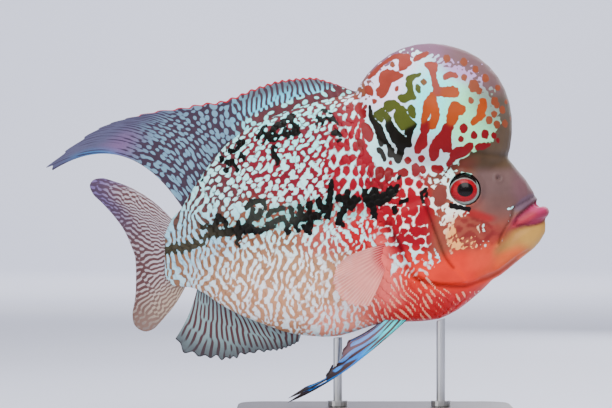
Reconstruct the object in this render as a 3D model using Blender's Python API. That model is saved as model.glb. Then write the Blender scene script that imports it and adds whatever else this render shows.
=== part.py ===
"""Flowerhorn cichlid, a still life-size display model held by two rods on a flat base.

The fish faces +X with +Z up, and its right flank is on the -Y side. The origin is the
centre of the underside of the base. Sizes below are millimetres, turned into metres
when a mesh is made. The body is a loft of egg-shaped sections, parted by thin gaps
where a person would name its parts. Each fin is a thin membrane with its rays raised
in both faces, and its root is cut to the body it grows from.
"""
import math
from dataclasses import dataclass

import bmesh
import bpy
import numpy as np
from mathutils import Matrix, Vector

MM = 0.001
GAP = 0.3
SECTION_POINTS = 40

# Where the fish is parted, as X of the plane between two nodes
GILL_PLANE = 22.0
WAIST_PLANE = -36.0
PEDUNCLE_PLANE = -92.0

# Steps between the body's sections, in the tail, the trunk and the head
TAIL_STEP = 4.5
TRUNK_STEP = 8.0
HEAD_STEP = 5.0

# The stand
BASE_LENGTH = 156.0
BASE_WIDTH = 92.0
BASE_HEIGHT = 15.0
BASE_CORNER = 16.0
BASE_EDGE = 1.6
ROD_RADIUS = 2.5
ROD_FRONT_X = 37.0
ROD_REAR_X = -21.0
COLLAR_RADIUS = 5.5
COLLAR_HEIGHT = 3.0
ROD_SIDES = 20
ROD_REACH = 80.0

# The eyes
EYE_X = 49.3
EYE_Z = 137.2
EYE_RADIUS = 8.8
EYE_DEPTH = 6.6
EYE_SINK = 2.2
RIM_RADIUS = 9.4
RIM_TUBE = 1.2
RIM_SINK = 0.2

# The nostrils
NOSTRIL_X = 70.0
NOSTRIL_Z = 144.0
NOSTRIL_RADIUS = 1.1
NOSTRIL_DEPTH = 1.6

# The hump, an egg whose long axis dips forward
HUMP_X = 30.2
HUMP_Z = 165.3
HUMP_FRONT = 46.5
HUMP_REAR = 49.1
HUMP_TOP = 54.8
HUMP_UNDER = 43.3
HUMP_HALF_WIDTH = 27.5
HUMP_DIP = 0.291
HUMP_POWER = 2.16

# The lips, as stops of (share of the way to the front, x, half-width, z), and the radii
# of their tubes at the corner of the mouth and at the front
UPPER_LIP = ((0.0, 67.0, 19.0, 104.0), (0.2, 71.5, 17.8, 113.0), (0.42, 76.8, 15.6, 121.5),
             (0.7, 83.6, 11.0, 128.0), (0.88, 88.4, 5.0, 131.0), (1.0, 89.6, 0.0, 131.6))
UPPER_LIP_RADII = (1.5, 2.6)
LOWER_LIP = ((0.0, 76.0, 14.6, 116.2), (0.35, 83.5, 12.4, 120.2), (0.7, 91.4, 7.6, 123.6),
             (0.88, 94.3, 3.8, 124.4), (1.0, 95.0, 0.0, 124.6))
LOWER_LIP_RADII = (1.8, 4.0)
JAW_STEP = 3.2
JAW_POWERS = (2.4, 2.2)

# The gill covers, whose edges are stops of (share of the way down, x, z)
COVER_THICKNESS = 1.9
COVER_REAR = ((0.0, 30.0, 129.0), (0.12, 16.0, 126.5), (0.25, 7.6, 117.5), (0.45, 14.6, 102.5),
              (0.62, 22.5, 89.5), (0.78, 35.0, 83.6), (1.0, 52.0, 85.0))
COVER_FRONT = ((0.0, 30.0, 129.0), (0.2, 31.4, 121.0), (0.45, 35.0, 109.0), (0.72, 41.0, 97.0),
               (1.0, 52.0, 85.0))

# The fins: stops of (share along the fin, x, z) where the rays start and end. The dorsal
# and anal fins start at these x, sunk a little into the body's outline.
ROOT_SINK = 5.0
DORSAL_XS = (-9.0, -24.0, -42.0, -60.0, -76.0, -88.0, -98.0, -107.5)
DORSAL_TIPS = ((0.0, -13.0, 192.8), (0.1, -24.8, 197.6), (0.2, -36.0, 200.4),
               (0.34, -51.8, 199.0), (0.46, -66.7, 194.8), (0.58, -86.1, 187.4),
               (0.68, -108.3, 183.8), (0.78, -137.4, 178.2), (0.87, -157.6, 170.9),
               (0.94, -176.0, 157.7), (0.98, -187.6, 147.6), (1.0, -183.0, 147.2))
DORSAL_SPLIT = 0.6
DORSAL_PARTING = 0.003
ANAL_XS = (-40.5, -56.0, -70.0, -83.0, -92.0, -99.5)
ANAL_TIPS = ((0.0, -43.0, 51.4), (0.15, -48.4, 48.4), (0.3, -54.5, 46.5), (0.45, -63.5, 45.6),
             (0.58, -74.6, 43.7), (0.7, -82.4, 41.2), (0.8, -91.0, 42.0), (0.88, -100.0, 43.0),
             (0.95, -108.5, 46.4), (1.0, -112.5, 53.0))
CAUDAL_BASE = ((0.0, -114.0, 120.0), (0.5, -112.0, 101.0), (1.0, -106.0, 84.0))
CAUDAL_TIPS = ((0.0, -157.0, 143.0), (0.12, -159.0, 137.4), (0.25, -153.1, 128.4),
               (0.4, -145.3, 117.7), (0.55, -137.6, 105.3), (0.7, -134.6, 90.7),
               (0.82, -135.0, 75.5), (0.92, -135.6, 63.0), (1.0, -130.0, 57.8))
PELVIC_BASE = ((0.0, 21.0, 67.0), (1.0, 9.0, 67.0))
PELVIC_TIPS = ((0.0, -49.5, 18.2), (0.12, -41.0, 24.2), (0.25, -29.0, 29.4),
               (0.45, -25.6, 35.6), (0.65, -21.6, 40.0), (0.82, -18.0, 46.0), (1.0, -15.0, 51.5))
PECTORAL_BASE = ((0.0, 9.0, 107.5), (1.0, 6.6, 96.5))
PECTORAL_TIPS = ((0.0, -17.5, 99.5), (0.2, -22.6, 93.5), (0.4, -24.2, 86.0), (0.6, -20.8, 78.0),
                 (0.8, -13.2, 72.6), (1.0, -4.0, 72.0))


@dataclass(frozen=True)
class Station:
    """One cross-section of a lofted form."""

    x: float
    top: float
    bottom: float
    half_width: float
    widest: float


BODY = (
    Station(-119.0, 115.0, 88.0, 0.8, 101.0),
    Station(-116.0, 120.5, 83.0, 3.2, 101.5),
    Station(-111.0, 125.0, 81.7, 6.0, 103.0),
    Station(-105.8, 133.5, 81.5, 8.6, 105.5),
    Station(-99.7, 143.0, 80.0, 11.2, 108.0),
    Station(-90.0, 157.0, 73.4, 14.8, 110.5),
    Station(-78.8, 167.8, 67.0, 18.2, 113.0),
    Station(-63.6, 176.2, 60.8, 21.8, 116.0),
    Station(-45.0, 183.6, 54.8, 25.2, 119.0),
    Station(-25.3, 189.2, 53.2, 28.0, 121.0),
    Station(-10.7, 191.6, 56.5, 29.4, 122.0),
    Station(5.6, 188.0, 61.5, 30.0, 122.5),
    Station(19.7, 182.0, 61.8, 30.2, 122.5),
    Station(33.8, 175.0, 63.0, 29.6, 122.0),
    Station(45.0, 169.5, 67.5, 28.2, 121.5),
    Station(56.3, 164.5, 76.0, 25.6, 121.0),
    Station(68.7, 159.0, 88.5, 21.0, 122.0),
    Station(76.0, 154.8, 103.0, 17.6, 126.0),
    Station(81.6, 147.5, 115.0, 14.4, 130.0),
    Station(87.3, 140.8, 123.5, 9.8, 131.5),
    Station(90.2, 135.6, 128.0, 4.2, 132.0),
)

JAW = (
    Station(58.0, 104.0, 84.0, 12.0, 94.0),
    Station(64.0, 108.0, 84.8, 15.0, 96.0),
    Station(70.0, 112.0, 87.6, 15.6, 99.0),
    Station(77.0, 118.0, 93.0, 14.8, 104.0),
    Station(84.0, 121.8, 98.8, 12.8, 108.5),
    Station(90.5, 123.8, 104.0, 9.8, 112.5),
    Station(94.5, 124.0, 109.0, 6.6, 115.5),
    Station(96.5, 121.5, 112.6, 3.0, 117.0),
)

COLOURS = {
    "head": (0.42, 0.16, 0.11),
    "hump": (0.36, 0.17, 0.16),
    "jaw": (0.55, 0.26, 0.25),
    "gill_cover": (0.55, 0.14, 0.09),
    "eye": (0.55, 0.03, 0.03),
    "torso": (0.48, 0.12, 0.11),
    "tail": (0.33, 0.24, 0.17),
    "fin": (0.25, 0.20, 0.26),
    "pectoral": (0.75, 0.50, 0.50),
    "pelvic": (0.35, 0.55, 0.75),
    "wood": (0.06, 0.045, 0.035),
    "steel": (0.55, 0.55, 0.56),
}


def clear_scene():
    """Remove whatever the scene holds."""
    for obj in list(bpy.context.scene.objects):
        bpy.data.objects.remove(obj, do_unlink=True)


def new_collection(name):
    """Add a collection to the scene."""
    collection = bpy.data.collections.new(name)
    bpy.context.scene.collection.children.link(collection)
    return collection


def make_material(name, colour, roughness, metallic=0.0):
    """Make a Principled material of one colour."""
    material = bpy.data.materials.new(name)
    material.use_nodes = True
    shader = material.node_tree.nodes["Principled BSDF"]
    shader.inputs["Base Color"].default_value = (*colour, 1.0)
    shader.inputs["Roughness"].default_value = roughness
    shader.inputs["Metallic"].default_value = metallic
    return material


def curve_through(knots, values):
    """Return a smooth function through the values that never overshoots them."""
    knots = np.asarray(knots, float)
    values = np.asarray(values, float)
    steps = np.diff(knots)
    slopes = np.diff(values) / steps
    tangents = np.zeros(len(knots))
    tangents[0], tangents[-1] = slopes[0], slopes[-1]
    for i in range(1, len(knots) - 1):
        if slopes[i - 1] * slopes[i] > 0.0:
            ahead = 2.0 * steps[i] + steps[i - 1]
            behind = steps[i] + 2.0 * steps[i - 1]
            tangents[i] = (ahead + behind) / (ahead / slopes[i - 1] + behind / slopes[i])

    def value_at(where):
        where = min(max(where, knots[0]), knots[-1])
        i = min(int(np.searchsorted(knots, where, side="right")) - 1, len(steps) - 1)
        t = (where - knots[i]) / steps[i]
        start = (1.0 + 2.0 * t) * (1.0 - t) ** 2 * values[i]
        end = t * t * (3.0 - 2.0 * t) * values[i + 1]
        leave = t * (1.0 - t) ** 2 * steps[i] * tangents[i]
        arrive = t * t * (t - 1.0) * steps[i] * tangents[i + 1]
        return float(start + end + leave + arrive)

    return value_at


class Form:
    """A lofted body: egg-shaped sections along X, named by a few stations."""

    def __init__(self, stations, power_up=2.05, power_down=2.2):
        xs = [s.x for s in stations]
        self.start, self.end = xs[0], xs[-1]
        self.top = curve_through(xs, [s.top for s in stations])
        self.bottom = curve_through(xs, [s.bottom for s in stations])
        self.half_width = curve_through(xs, [s.half_width for s in stations])
        self.widest = curve_through(xs, [s.widest for s in stations])
        self.power_up = power_up
        self.power_down = power_down

    def section(self, x, count):
        """Return the points of the cross-section at x, anticlockwise seen from +X."""
        level = self.widest(x)
        points = []
        for k in range(count):
            angle = 2.0 * math.pi * k / count
            across, up = math.cos(angle), math.sin(angle)
            power = self.power_up if up >= 0.0 else self.power_down
            reach = self.top(x) - level if up >= 0.0 else level - self.bottom(x)
            y = math.copysign(abs(across) ** (2.0 / power), across) * self.half_width(x)
            z = level + math.copysign(abs(up) ** (2.0 / power), up) * reach
            points.append((x, y, z))
        return points

    def flank(self, x, z):
        """Return the half-width of the surface at a place, 0 above or below it."""
        level = self.widest(x)
        if z >= level:
            share, power = (z - level) / (self.top(x) - level), self.power_up
        else:
            share, power = (level - z) / (level - self.bottom(x)), self.power_down
        return self.half_width(x) * max(1.0 - share ** power, 0.0) ** (1.0 / power)

    def outward(self, x, z, side):
        """Return the unit normal of the surface at a place on one side."""
        step = 0.5
        along = (self.flank(x + step, z) - self.flank(x - step, z)) / (2.0 * step)
        upward = (self.flank(x, z + step) - self.flank(x, z - step)) / (2.0 * step)
        return Vector((-along, side, -upward)).normalized()


def add_object(name, points, faces, collection, material):
    """Make a mesh object from points in millimetres."""
    mesh = bpy.data.meshes.new(name)
    mesh.from_pydata([[c * MM for c in p] for p in points], [], faces)
    mesh.update()
    obj = bpy.data.objects.new(name, mesh)
    collection.objects.link(obj)
    if material is not None:
        mesh.materials.append(material)
    return obj


def make_guide(obj):
    """Mark an object as a cutter or guide, which is no part of the model."""
    obj.hide_render = True
    obj.display_type = "WIRE"
    return obj


def loft(name, form, xs, collection, material, count=SECTION_POINTS):
    """Loft a form through its sections at xs, with flat caps at both ends."""
    points = []
    for x in xs:
        points.extend(form.section(x, count))
    faces = [list(range(count))[::-1]]
    for row in range(len(xs) - 1):
        for k in range(count):
            a = row * count + k
            b = row * count + (k + 1) % count
            faces.append([a, b, b + count, a + count])
    faces.append([(len(xs) - 1) * count + k for k in range(count)])
    return add_object(name, points, faces, collection, material)


def spaced(start, end, step):
    """Return evenly spaced values from start to end, about a step apart."""
    count = max(int(round(abs(end - start) / step)), 1)
    return list(np.linspace(start, end, count + 1))


def grown(obj, distance, collection):
    """Copy an object with its surface moved outward by a distance."""
    copy = obj.copy()
    copy.data = obj.data.copy()
    copy.name = obj.name + "_grown"
    collection.objects.link(copy)
    work = bmesh.new()
    work.from_mesh(copy.data)
    work.normal_update()
    moves = []
    for vertex in work.verts:
        normals = [f.normal for f in vertex.link_faces]
        mean = sum(normals, Vector()).normalized()
        lean = min(max(mean.dot(n), 0.35) for n in normals)
        moves.append(mean * (distance * MM / lean))
    for vertex, move in zip(work.verts, moves):
        vertex.co += move
    work.to_mesh(copy.data)
    work.free()
    return make_guide(copy)


def settle(obj):
    """Apply the modifiers of an object and keep its largest closed surface."""
    bpy.context.view_layer.update()
    graph = bpy.context.evaluated_depsgraph_get()
    mesh = bpy.data.meshes.new_from_object(obj.evaluated_get(graph))
    obj.modifiers.clear()
    work = bmesh.new()
    work.from_mesh(mesh)
    bmesh.ops.remove_doubles(work, verts=work.verts, dist=2e-6)
    bmesh.ops.dissolve_degenerate(work, edges=work.edges, dist=2e-6)
    pieces = []
    waiting = set(work.verts)
    while waiting:
        piece, front = set(), [waiting.pop()]
        while front:
            vertex = front.pop()
            piece.add(vertex)
            for edge in vertex.link_edges:
                other = edge.other_vert(vertex)
                if other in waiting:
                    waiting.remove(other)
                    front.append(other)
        pieces.append(piece)
    largest = max(pieces, key=spread_of)
    scraps = [v for piece in pieces if piece is not largest for v in piece]
    bmesh.ops.delete(work, geom=scraps, context="VERTS")
    bmesh.ops.triangulate(work, faces=[f for f in work.faces if len(f.verts) > 4])
    work.to_mesh(mesh)
    work.free()
    obj.data = mesh
    return obj


def spread_of(piece):
    """Return the volume of the box that a set of vertices spans."""
    low = [min(v.co[k] for v in piece) for k in range(3)]
    high = [max(v.co[k] for v in piece) for k in range(3)]
    return math.prod(h - l + MM for h, l in zip(high, low))


def cut(obj, cutters):
    """Take the cutters away from an object."""
    for cutter in cutters:
        step = obj.modifiers.new("cut", "BOOLEAN")
        step.operation = "DIFFERENCE"
        step.object = cutter
    return settle(obj)


def keep_inside(obj, limit):
    """Keep only what lies inside the limit."""
    step = obj.modifiers.new("inside", "BOOLEAN")
    step.operation = "INTERSECT"
    step.object = limit
    return settle(obj)


def fuse(obj, pieces):
    """Join pieces to an object by one Boolean union and remove them."""
    pool = bpy.data.collections.new(obj.name + "_pieces")
    bpy.context.scene.collection.children.link(pool)
    for piece in pieces:
        for owner in list(piece.users_collection):
            owner.objects.unlink(piece)
        pool.objects.link(piece)
    step = obj.modifiers.new("union", "BOOLEAN")
    step.operation = "UNION"
    step.operand_type = "COLLECTION"
    step.collection = pool
    settle(obj)
    for piece in pieces:
        bpy.data.objects.remove(piece, do_unlink=True)
    bpy.data.collections.remove(pool)
    return obj


def tube(name, route, radii, sides, collection, material):
    """Make a round tube of changing radius along a smooth route."""
    count = len(route)
    points = []
    for i in range(count):
        here = Vector(route[i])
        ahead = Vector(route[min(i + 1, count - 1)]) - Vector(route[max(i - 1, 0)])
        frame = ahead.to_track_quat("Z", "Y")
        for k in range(sides):
            angle = 2.0 * math.pi * k / sides
            offset = Vector((math.cos(angle), math.sin(angle), 0.0)) * radii[i]
            points.append(here + frame @ offset)
    faces = [list(range(sides))[::-1]]
    for row in range(count - 1):
        for k in range(sides):
            a = row * sides + k
            b = row * sides + (k + 1) % sides
            faces.append([a, b, b + sides, a + sides])
    faces.append([(count - 1) * sides + k for k in range(sides)])
    return add_object(name, points, faces, collection, material)


def mouth_route(stops, count):
    """Return a route round the mouth from its right end to its left end.

    Each stop is (share of the way to the front, x, half-width, z).
    """
    shares = [s[0] for s in stops]
    x_at = curve_through(shares, [s[1] for s in stops])
    y_at = curve_through(shares, [s[2] for s in stops])
    z_at = curve_through(shares, [s[3] for s in stops])
    route = []
    for k in range(count):
        way = 2.0 * k / (count - 1)
        share = way if way <= 1.0 else 2.0 - way
        side = -1.0 if way <= 1.0 else 1.0
        route.append((x_at(share), side * y_at(share), z_at(share)))
    return route


def ellipsoid(name, centre, radii, axis, collection, material, rings=10, sides=20):
    """Make an ellipsoid whose last radius lies along an axis."""
    work = bmesh.new()
    bmesh.ops.create_uvsphere(work, u_segments=sides, v_segments=rings, radius=1.0)
    turn = Vector(axis).to_track_quat("Z", "Y").to_matrix().to_4x4()
    scale = Matrix.Diagonal((*[r * MM for r in radii], 1.0))
    place = Matrix.Translation(Vector(centre) * MM)
    bmesh.ops.transform(work, matrix=place @ turn @ scale, verts=work.verts)
    mesh = bpy.data.meshes.new(name)
    work.to_mesh(mesh)
    work.free()
    obj = bpy.data.objects.new(name, mesh)
    collection.objects.link(obj)
    if material is not None:
        mesh.materials.append(material)
    return obj


def ring(name, centre, radius, thickness, axis, collection, material, around=24, sides=8):
    """Make a torus whose axis points outward."""
    turn = Vector(axis).to_track_quat("Z", "Y")
    points = []
    for i in range(around):
        turn_angle = 2.0 * math.pi * i / around
        for k in range(sides):
            angle = 2.0 * math.pi * k / sides
            reach = radius + thickness * math.cos(angle)
            local = Vector((reach * math.cos(turn_angle), reach * math.sin(turn_angle),
                            thickness * math.sin(angle)))
            points.append(Vector(centre) + turn @ local)
    faces = []
    for i in range(around):
        for k in range(sides):
            a, b = i * sides + k, i * sides + (k + 1) % sides
            c, d = ((i + 1) % around) * sides + k, ((i + 1) % around) * sides + (k + 1) % sides
            faces.append([a, c, d, b])
    return add_object(name, points, faces, collection, material)


@dataclass
class Fin:
    """A fin: where its rays start, where they end, and how they are raised.

    Each base and tip stop is (share along the fin, x, z). The bow lifts the middle of
    a ray off the straight line, and the sway carries it sideways. The node spans the
    shares from start to end.
    """

    name: str
    base: tuple
    tips: tuple
    rays: int
    rows: int
    bow: object
    sway: object
    root_thickness: float = 1.5
    membrane: float = 0.7
    ridge: float = 0.35
    tip_share: float = 0.45
    scallop: float = 0.0
    start: float = 0.0
    end: float = 1.0

    def __post_init__(self):
        """Turn the stops into smooth curves."""
        self.curves = [curve_through([s[0] for s in stops], [s[k] for s in stops])
                       for stops in (self.base, self.tips) for k in (1, 2)]

    def middle(self, u, v):
        """Return the middle of the membrane at a share along and a share out."""
        base_x, base_z, tip_x, tip_z = [curve(u) for curve in self.curves]
        bow_x, bow_z = self.bow(u)
        bulge = 2.0 * v * (1.0 - v)
        x = base_x + (tip_x - base_x) * v + bow_x * bulge
        z = base_z + (tip_z - base_z) * v + bow_z * bulge
        return x, z

    def columns(self):
        """Return (share, is a crest) for each column of points."""
        last = 2 * self.rays - 2
        span = self.end - self.start
        return [(self.start + span * k / last, k % 2 == 0) for k in range(last + 1)]

    def build(self, collection, material, mirror=1.0):
        """Make the fin as one closed membrane, split alike on both faces."""
        columns = self.columns()
        wide, tall = len(columns), self.rows + 1
        near, far = [], []
        for u, crest in columns:
            for row in range(tall):
                v = row / self.rows
                dip = 0.0 if crest else self.scallop * smooth_step((v - 0.6) / 0.4)
                x, z = self.middle(u, v * (1.0 - dip))
                y = self.sway(u, v, x, z)
                taper = 1.0 - (1.0 - self.tip_share) * v
                half = 0.5 * (self.membrane + (self.root_thickness - self.membrane)
                              * (1.0 - v) ** 2) * taper
                if crest:
                    half += self.ridge * taper
                near.append((x, mirror * (y - half), z))
                far.append((x, mirror * (y + half), z))
        offset = len(near)
        faces = []
        for i in range(wide - 1):
            for j in range(tall - 1):
                a = i * tall + j
                b, c, d = a + 1, a + tall, a + tall + 1
                for corner in ((a, c, b), (b, c, d)):
                    faces.append(corner)
                    faces.append(tuple(offset + k for k in reversed(corner)))
        rim = [i * tall for i in range(wide)]
        rim += [(wide - 1) * tall + j for j in range(1, tall)]
        rim += [i * tall + tall - 1 for i in range(wide - 2, -1, -1)]
        rim += [j for j in range(tall - 2, 0, -1)]
        for k, a in enumerate(rim):
            b = rim[(k + 1) % len(rim)]
            faces.append((b, a, offset + a))
            faces.append((b, offset + a, offset + b))
        obj = add_object(self.name, near + far, faces, collection, material)
        work = bmesh.new()
        work.from_mesh(obj.data)
        bmesh.ops.recalc_face_normals(work, faces=work.faces)
        work.to_mesh(obj.data)
        work.free()
        return obj


def smooth_step(t):
    """Ease from 0 to 1."""
    t = min(max(t, 0.0), 1.0)
    return t * t * (3.0 - 2.0 * t)


def main():
    """Build every node of the fish and its stand."""
    clear_scene()
    parts = new_collection("Flowerhorn cichlid")
    guides = new_collection("Cutters")
    paint = {name: make_material(name, colour, 0.4) for name, colour in COLOURS.items()}
    paint["steel"].node_tree.nodes["Principled BSDF"].inputs["Metallic"].default_value = 1.0
    body = Form(BODY)

    whole_xs = (spaced(body.start, PEDUNCLE_PLANE, TAIL_STEP)
                + spaced(PEDUNCLE_PLANE, WAIST_PLANE, TRUNK_STEP)[1:]
                + spaced(WAIST_PLANE, GILL_PLANE, TRUNK_STEP)[1:]
                + spaced(GILL_PLANE, body.end, HEAD_STEP)[1:])
    whole = make_guide(loft("whole_body", body, whole_xs, guides, None))
    clear_body = grown(whole, GAP, guides)
    cover_limit = grown(whole, COVER_THICKNESS, guides)

    build_trunk(body, whole_xs, parts, paint)
    build_head(body, whole_xs, clear_body, cover_limit, parts, guides, paint)
    build_fins(body, clear_body, parts, paint)
    build_stand(clear_body, parts, paint)


def build_trunk(body, whole_xs, parts, paint):
    """Loft the torso and the peduncle between their planes."""
    pieces = (
        ("torso_front", WAIST_PLANE + GAP, GILL_PLANE, "torso"),
        ("torso_rear", PEDUNCLE_PLANE + GAP, WAIST_PLANE, "torso"),
        ("tail_peduncle", body.start, PEDUNCLE_PLANE, "tail"),
    )
    for name, low, high, colour in pieces:
        xs = [low] + [x for x in whole_xs if low + 1.0 < x < high - 1.0] + [high]
        loft(name, body, xs, parts, paint[colour])


def build_head(body, whole_xs, clear_body, cover_limit, parts, guides, paint):
    """Build the head, hump, jaws, gill covers and eyes."""
    xs = [GILL_PLANE + GAP] + [x for x in whole_xs if x > GILL_PLANE + 1.0]
    head = loft("head", body, xs, parts, paint["head"])

    rims, sockets = [], []
    for side, word in ((-1.0, "right"), (1.0, "left")):
        axis = body.outward(EYE_X, EYE_Z, side)
        on_skin = Vector((EYE_X, side * body.flank(EYE_X, EYE_Z), EYE_Z))
        centre = on_skin - axis * EYE_SINK
        rims.append(ring("rim_" + word, on_skin - axis * RIM_SINK, RIM_RADIUS, RIM_TUBE, axis,
                         guides, None))
        eye = ellipsoid("eye_" + word, centre, (EYE_RADIUS, EYE_RADIUS, EYE_DEPTH), axis,
                        parts, paint["eye"], rings=12, sides=24)
        sockets.append(grown(eye, GAP, guides))
        spot = Vector((NOSTRIL_X, side * body.flank(NOSTRIL_X, NOSTRIL_Z), NOSTRIL_Z))
        sockets.append(make_guide(ellipsoid(
            "nostril_" + word, spot, (NOSTRIL_RADIUS, NOSTRIL_RADIUS, NOSTRIL_DEPTH),
            body.outward(NOSTRIL_X, NOSTRIL_Z, side), guides, None, rings=6, sides=10)))
    clear_rims = [grown(rim, GAP, guides) for rim in rims]
    fuse(head, rims)
    cut(head, sockets)

    upper = lip("upper_jaw", UPPER_LIP, UPPER_LIP_RADII, parts, paint["jaw"])
    clear_head = grown(head, GAP, guides)
    cut(upper, [clear_head])

    hump = ellipsoid("hump", (0, 0, 0), (1.0, 1.0, 1.0), (0, 0, 1), parts, paint["hump"],
                     rings=20, sides=36)
    shape_hump(hump)
    cut(hump, [clear_body, *clear_rims])

    jaw_form = Form(JAW, *JAW_POWERS)
    jaw = loft("lower_jaw", jaw_form, spaced(jaw_form.start, jaw_form.end, JAW_STEP), parts,
               paint["jaw"], count=28)
    fuse(jaw, [lip("lower_lip", LOWER_LIP, LOWER_LIP_RADII, guides, None)])
    clear_upper = grown(upper, GAP, guides)
    cut(jaw, [clear_head])
    cut(jaw, [clear_upper])

    build_gill_covers(clear_body, cover_limit, parts, guides, paint)


def lip(name, stops, radii, collection, material, count=23, sides=10):
    """Make a lip: a tube round the mouth that is thickest at the front."""
    middle = (count - 1) // 2
    corner, front = radii
    sizes = [corner + (front - corner) * smooth_step(1.3 - 1.2 * abs(k - middle) / middle)
             for k in range(count)]
    return tube(name, mouth_route(stops, count), sizes, sides, collection, material)


def shape_hump(hump):
    """Turn a unit sphere into the egg of the hump."""
    dip = Matrix.Rotation(HUMP_DIP, 3, "Y")
    for vertex in hump.data.vertices:
        unit = vertex.co.normalized()
        size = sum(abs(c) ** HUMP_POWER for c in unit) ** (1.0 / HUMP_POWER)
        unit = unit / size
        egg = Vector((unit.x * (HUMP_FRONT if unit.x > 0.0 else HUMP_REAR),
                      unit.y * HUMP_HALF_WIDTH,
                      unit.z * (HUMP_TOP if unit.z > 0.0 else HUMP_UNDER)))
        vertex.co = (dip @ egg + Vector((HUMP_X, 0.0, HUMP_Z))) * MM


def build_gill_covers(clear_body, cover_limit, parts, guides, paint):
    """Build each gill cover as a plate that lies on the head and shoulder."""
    rear_x = curve_through([s[0] for s in COVER_REAR], [s[1] for s in COVER_REAR])
    rear_z = curve_through([s[0] for s in COVER_REAR], [s[2] for s in COVER_REAR])
    front_x = curve_through([s[0] for s in COVER_FRONT], [s[1] for s in COVER_FRONT])
    front_z = curve_through([s[0] for s in COVER_FRONT], [s[2] for s in COVER_FRONT])
    outline = [(rear_x(k / 14), rear_z(k / 14)) for k in range(15)]
    outline += [(front_x(1.0 - k / 10), front_z(1.0 - k / 10)) for k in range(1, 10)]
    count = len(outline)
    for side, word in ((-1.0, "right"), (1.0, "left")):
        points = [(x, side * 12.0, z) for x, z in outline]
        points += [(x, side * 45.0, z) for x, z in outline]
        faces = [list(range(count)), [count + k for k in range(count)][::-1]]
        for k in range(count):
            after = (k + 1) % count
            faces.append([after, k, count + k, count + after])
        plate = add_object("gill_cover_" + word, points, faces, parts, paint["gill_cover"])
        work = bmesh.new()
        work.from_mesh(plate.data)
        bmesh.ops.recalc_face_normals(work, faces=work.faces)
        work.to_mesh(plate.data)
        work.free()
        keep_inside(plate, cover_limit)
        cut(plate, [clear_body])


def build_fins(body, clear_body, parts, paint):
    """Build the fins and cut each root to the body."""
    back = tuple((k / (len(DORSAL_XS) - 1), x, body.top(x) - ROOT_SINK)
                 for k, x in enumerate(DORSAL_XS))
    belly = tuple((k / (len(ANAL_XS) - 1), x, body.bottom(x) + ROOT_SINK)
                  for k, x in enumerate(ANAL_XS))
    middle_fins = [
        Fin(name, back, DORSAL_TIPS, rays=rays, rows=8, start=start, end=end,
            bow=lambda u: (6.0 * rise(u, 0.55), 39.0 * rise(u, 0.55) ** 1.3),
            sway=lambda u, v, x, z: 5.0 * v * v * rise(u, 0.5), scallop=0.05)
        for name, rays, start, end in (
            ("dorsal_fin_spiny", 18, 0.0, DORSAL_SPLIT),
            ("dorsal_fin_soft", 12, DORSAL_SPLIT + DORSAL_PARTING, 1.0))]
    middle_fins.append(Fin(
        "caudal_fin", CAUDAL_BASE, CAUDAL_TIPS, rays=16, rows=6,
        bow=lambda u: (2.0, 6.0 - 8.0 * u),
        sway=lambda u, v, x, z: v * v * (3.0 + 9.0 * math.sin(math.pi * u)), scallop=0.03))
    middle_fins.append(Fin(
        "anal_fin", belly, ANAL_TIPS, rays=16, rows=6, bow=lambda u: (3.0 * u, -2.0 * u),
        sway=lambda u, v, x, z: -3.0 * v * v * u, scallop=0.05))
    for fin in middle_fins:
        cut(fin.build(parts, paint["fin"]), [clear_body])

    for side, word in ((-1.0, "right"), (1.0, "left")):
        pelvic = Fin(
            "pelvic_fin_" + word, PELVIC_BASE, PELVIC_TIPS, rays=7, rows=9,
            bow=lambda u: (-7.0 + 5.0 * u, -15.0 + 11.0 * u),
            sway=lambda u, v, x, z: -(7.0 + 11.0 * v - 3.0 * u * v), scallop=0.03)
        cut(pelvic.build(parts, paint["pelvic"], mirror=-side), [clear_body])
        pectoral = Fin(
            "pectoral_fin_" + word, PECTORAL_BASE, PECTORAL_TIPS, rays=13, rows=6,
            bow=lambda u: (0.0, 2.0 - 4.0 * u),
            sway=lambda u, v, x, z: -(body.flank(x, z) - 2.0 + 11.0 * v), scallop=0.03,
            membrane=0.6, ridge=0.25)
        cut(pectoral.build(parts, paint["pectoral"], mirror=-side), [clear_body])


def rise(u, start):
    """Return 0 up to a start and then grow to 1."""
    return smooth_step((u - start) / (1.0 - start))


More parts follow.
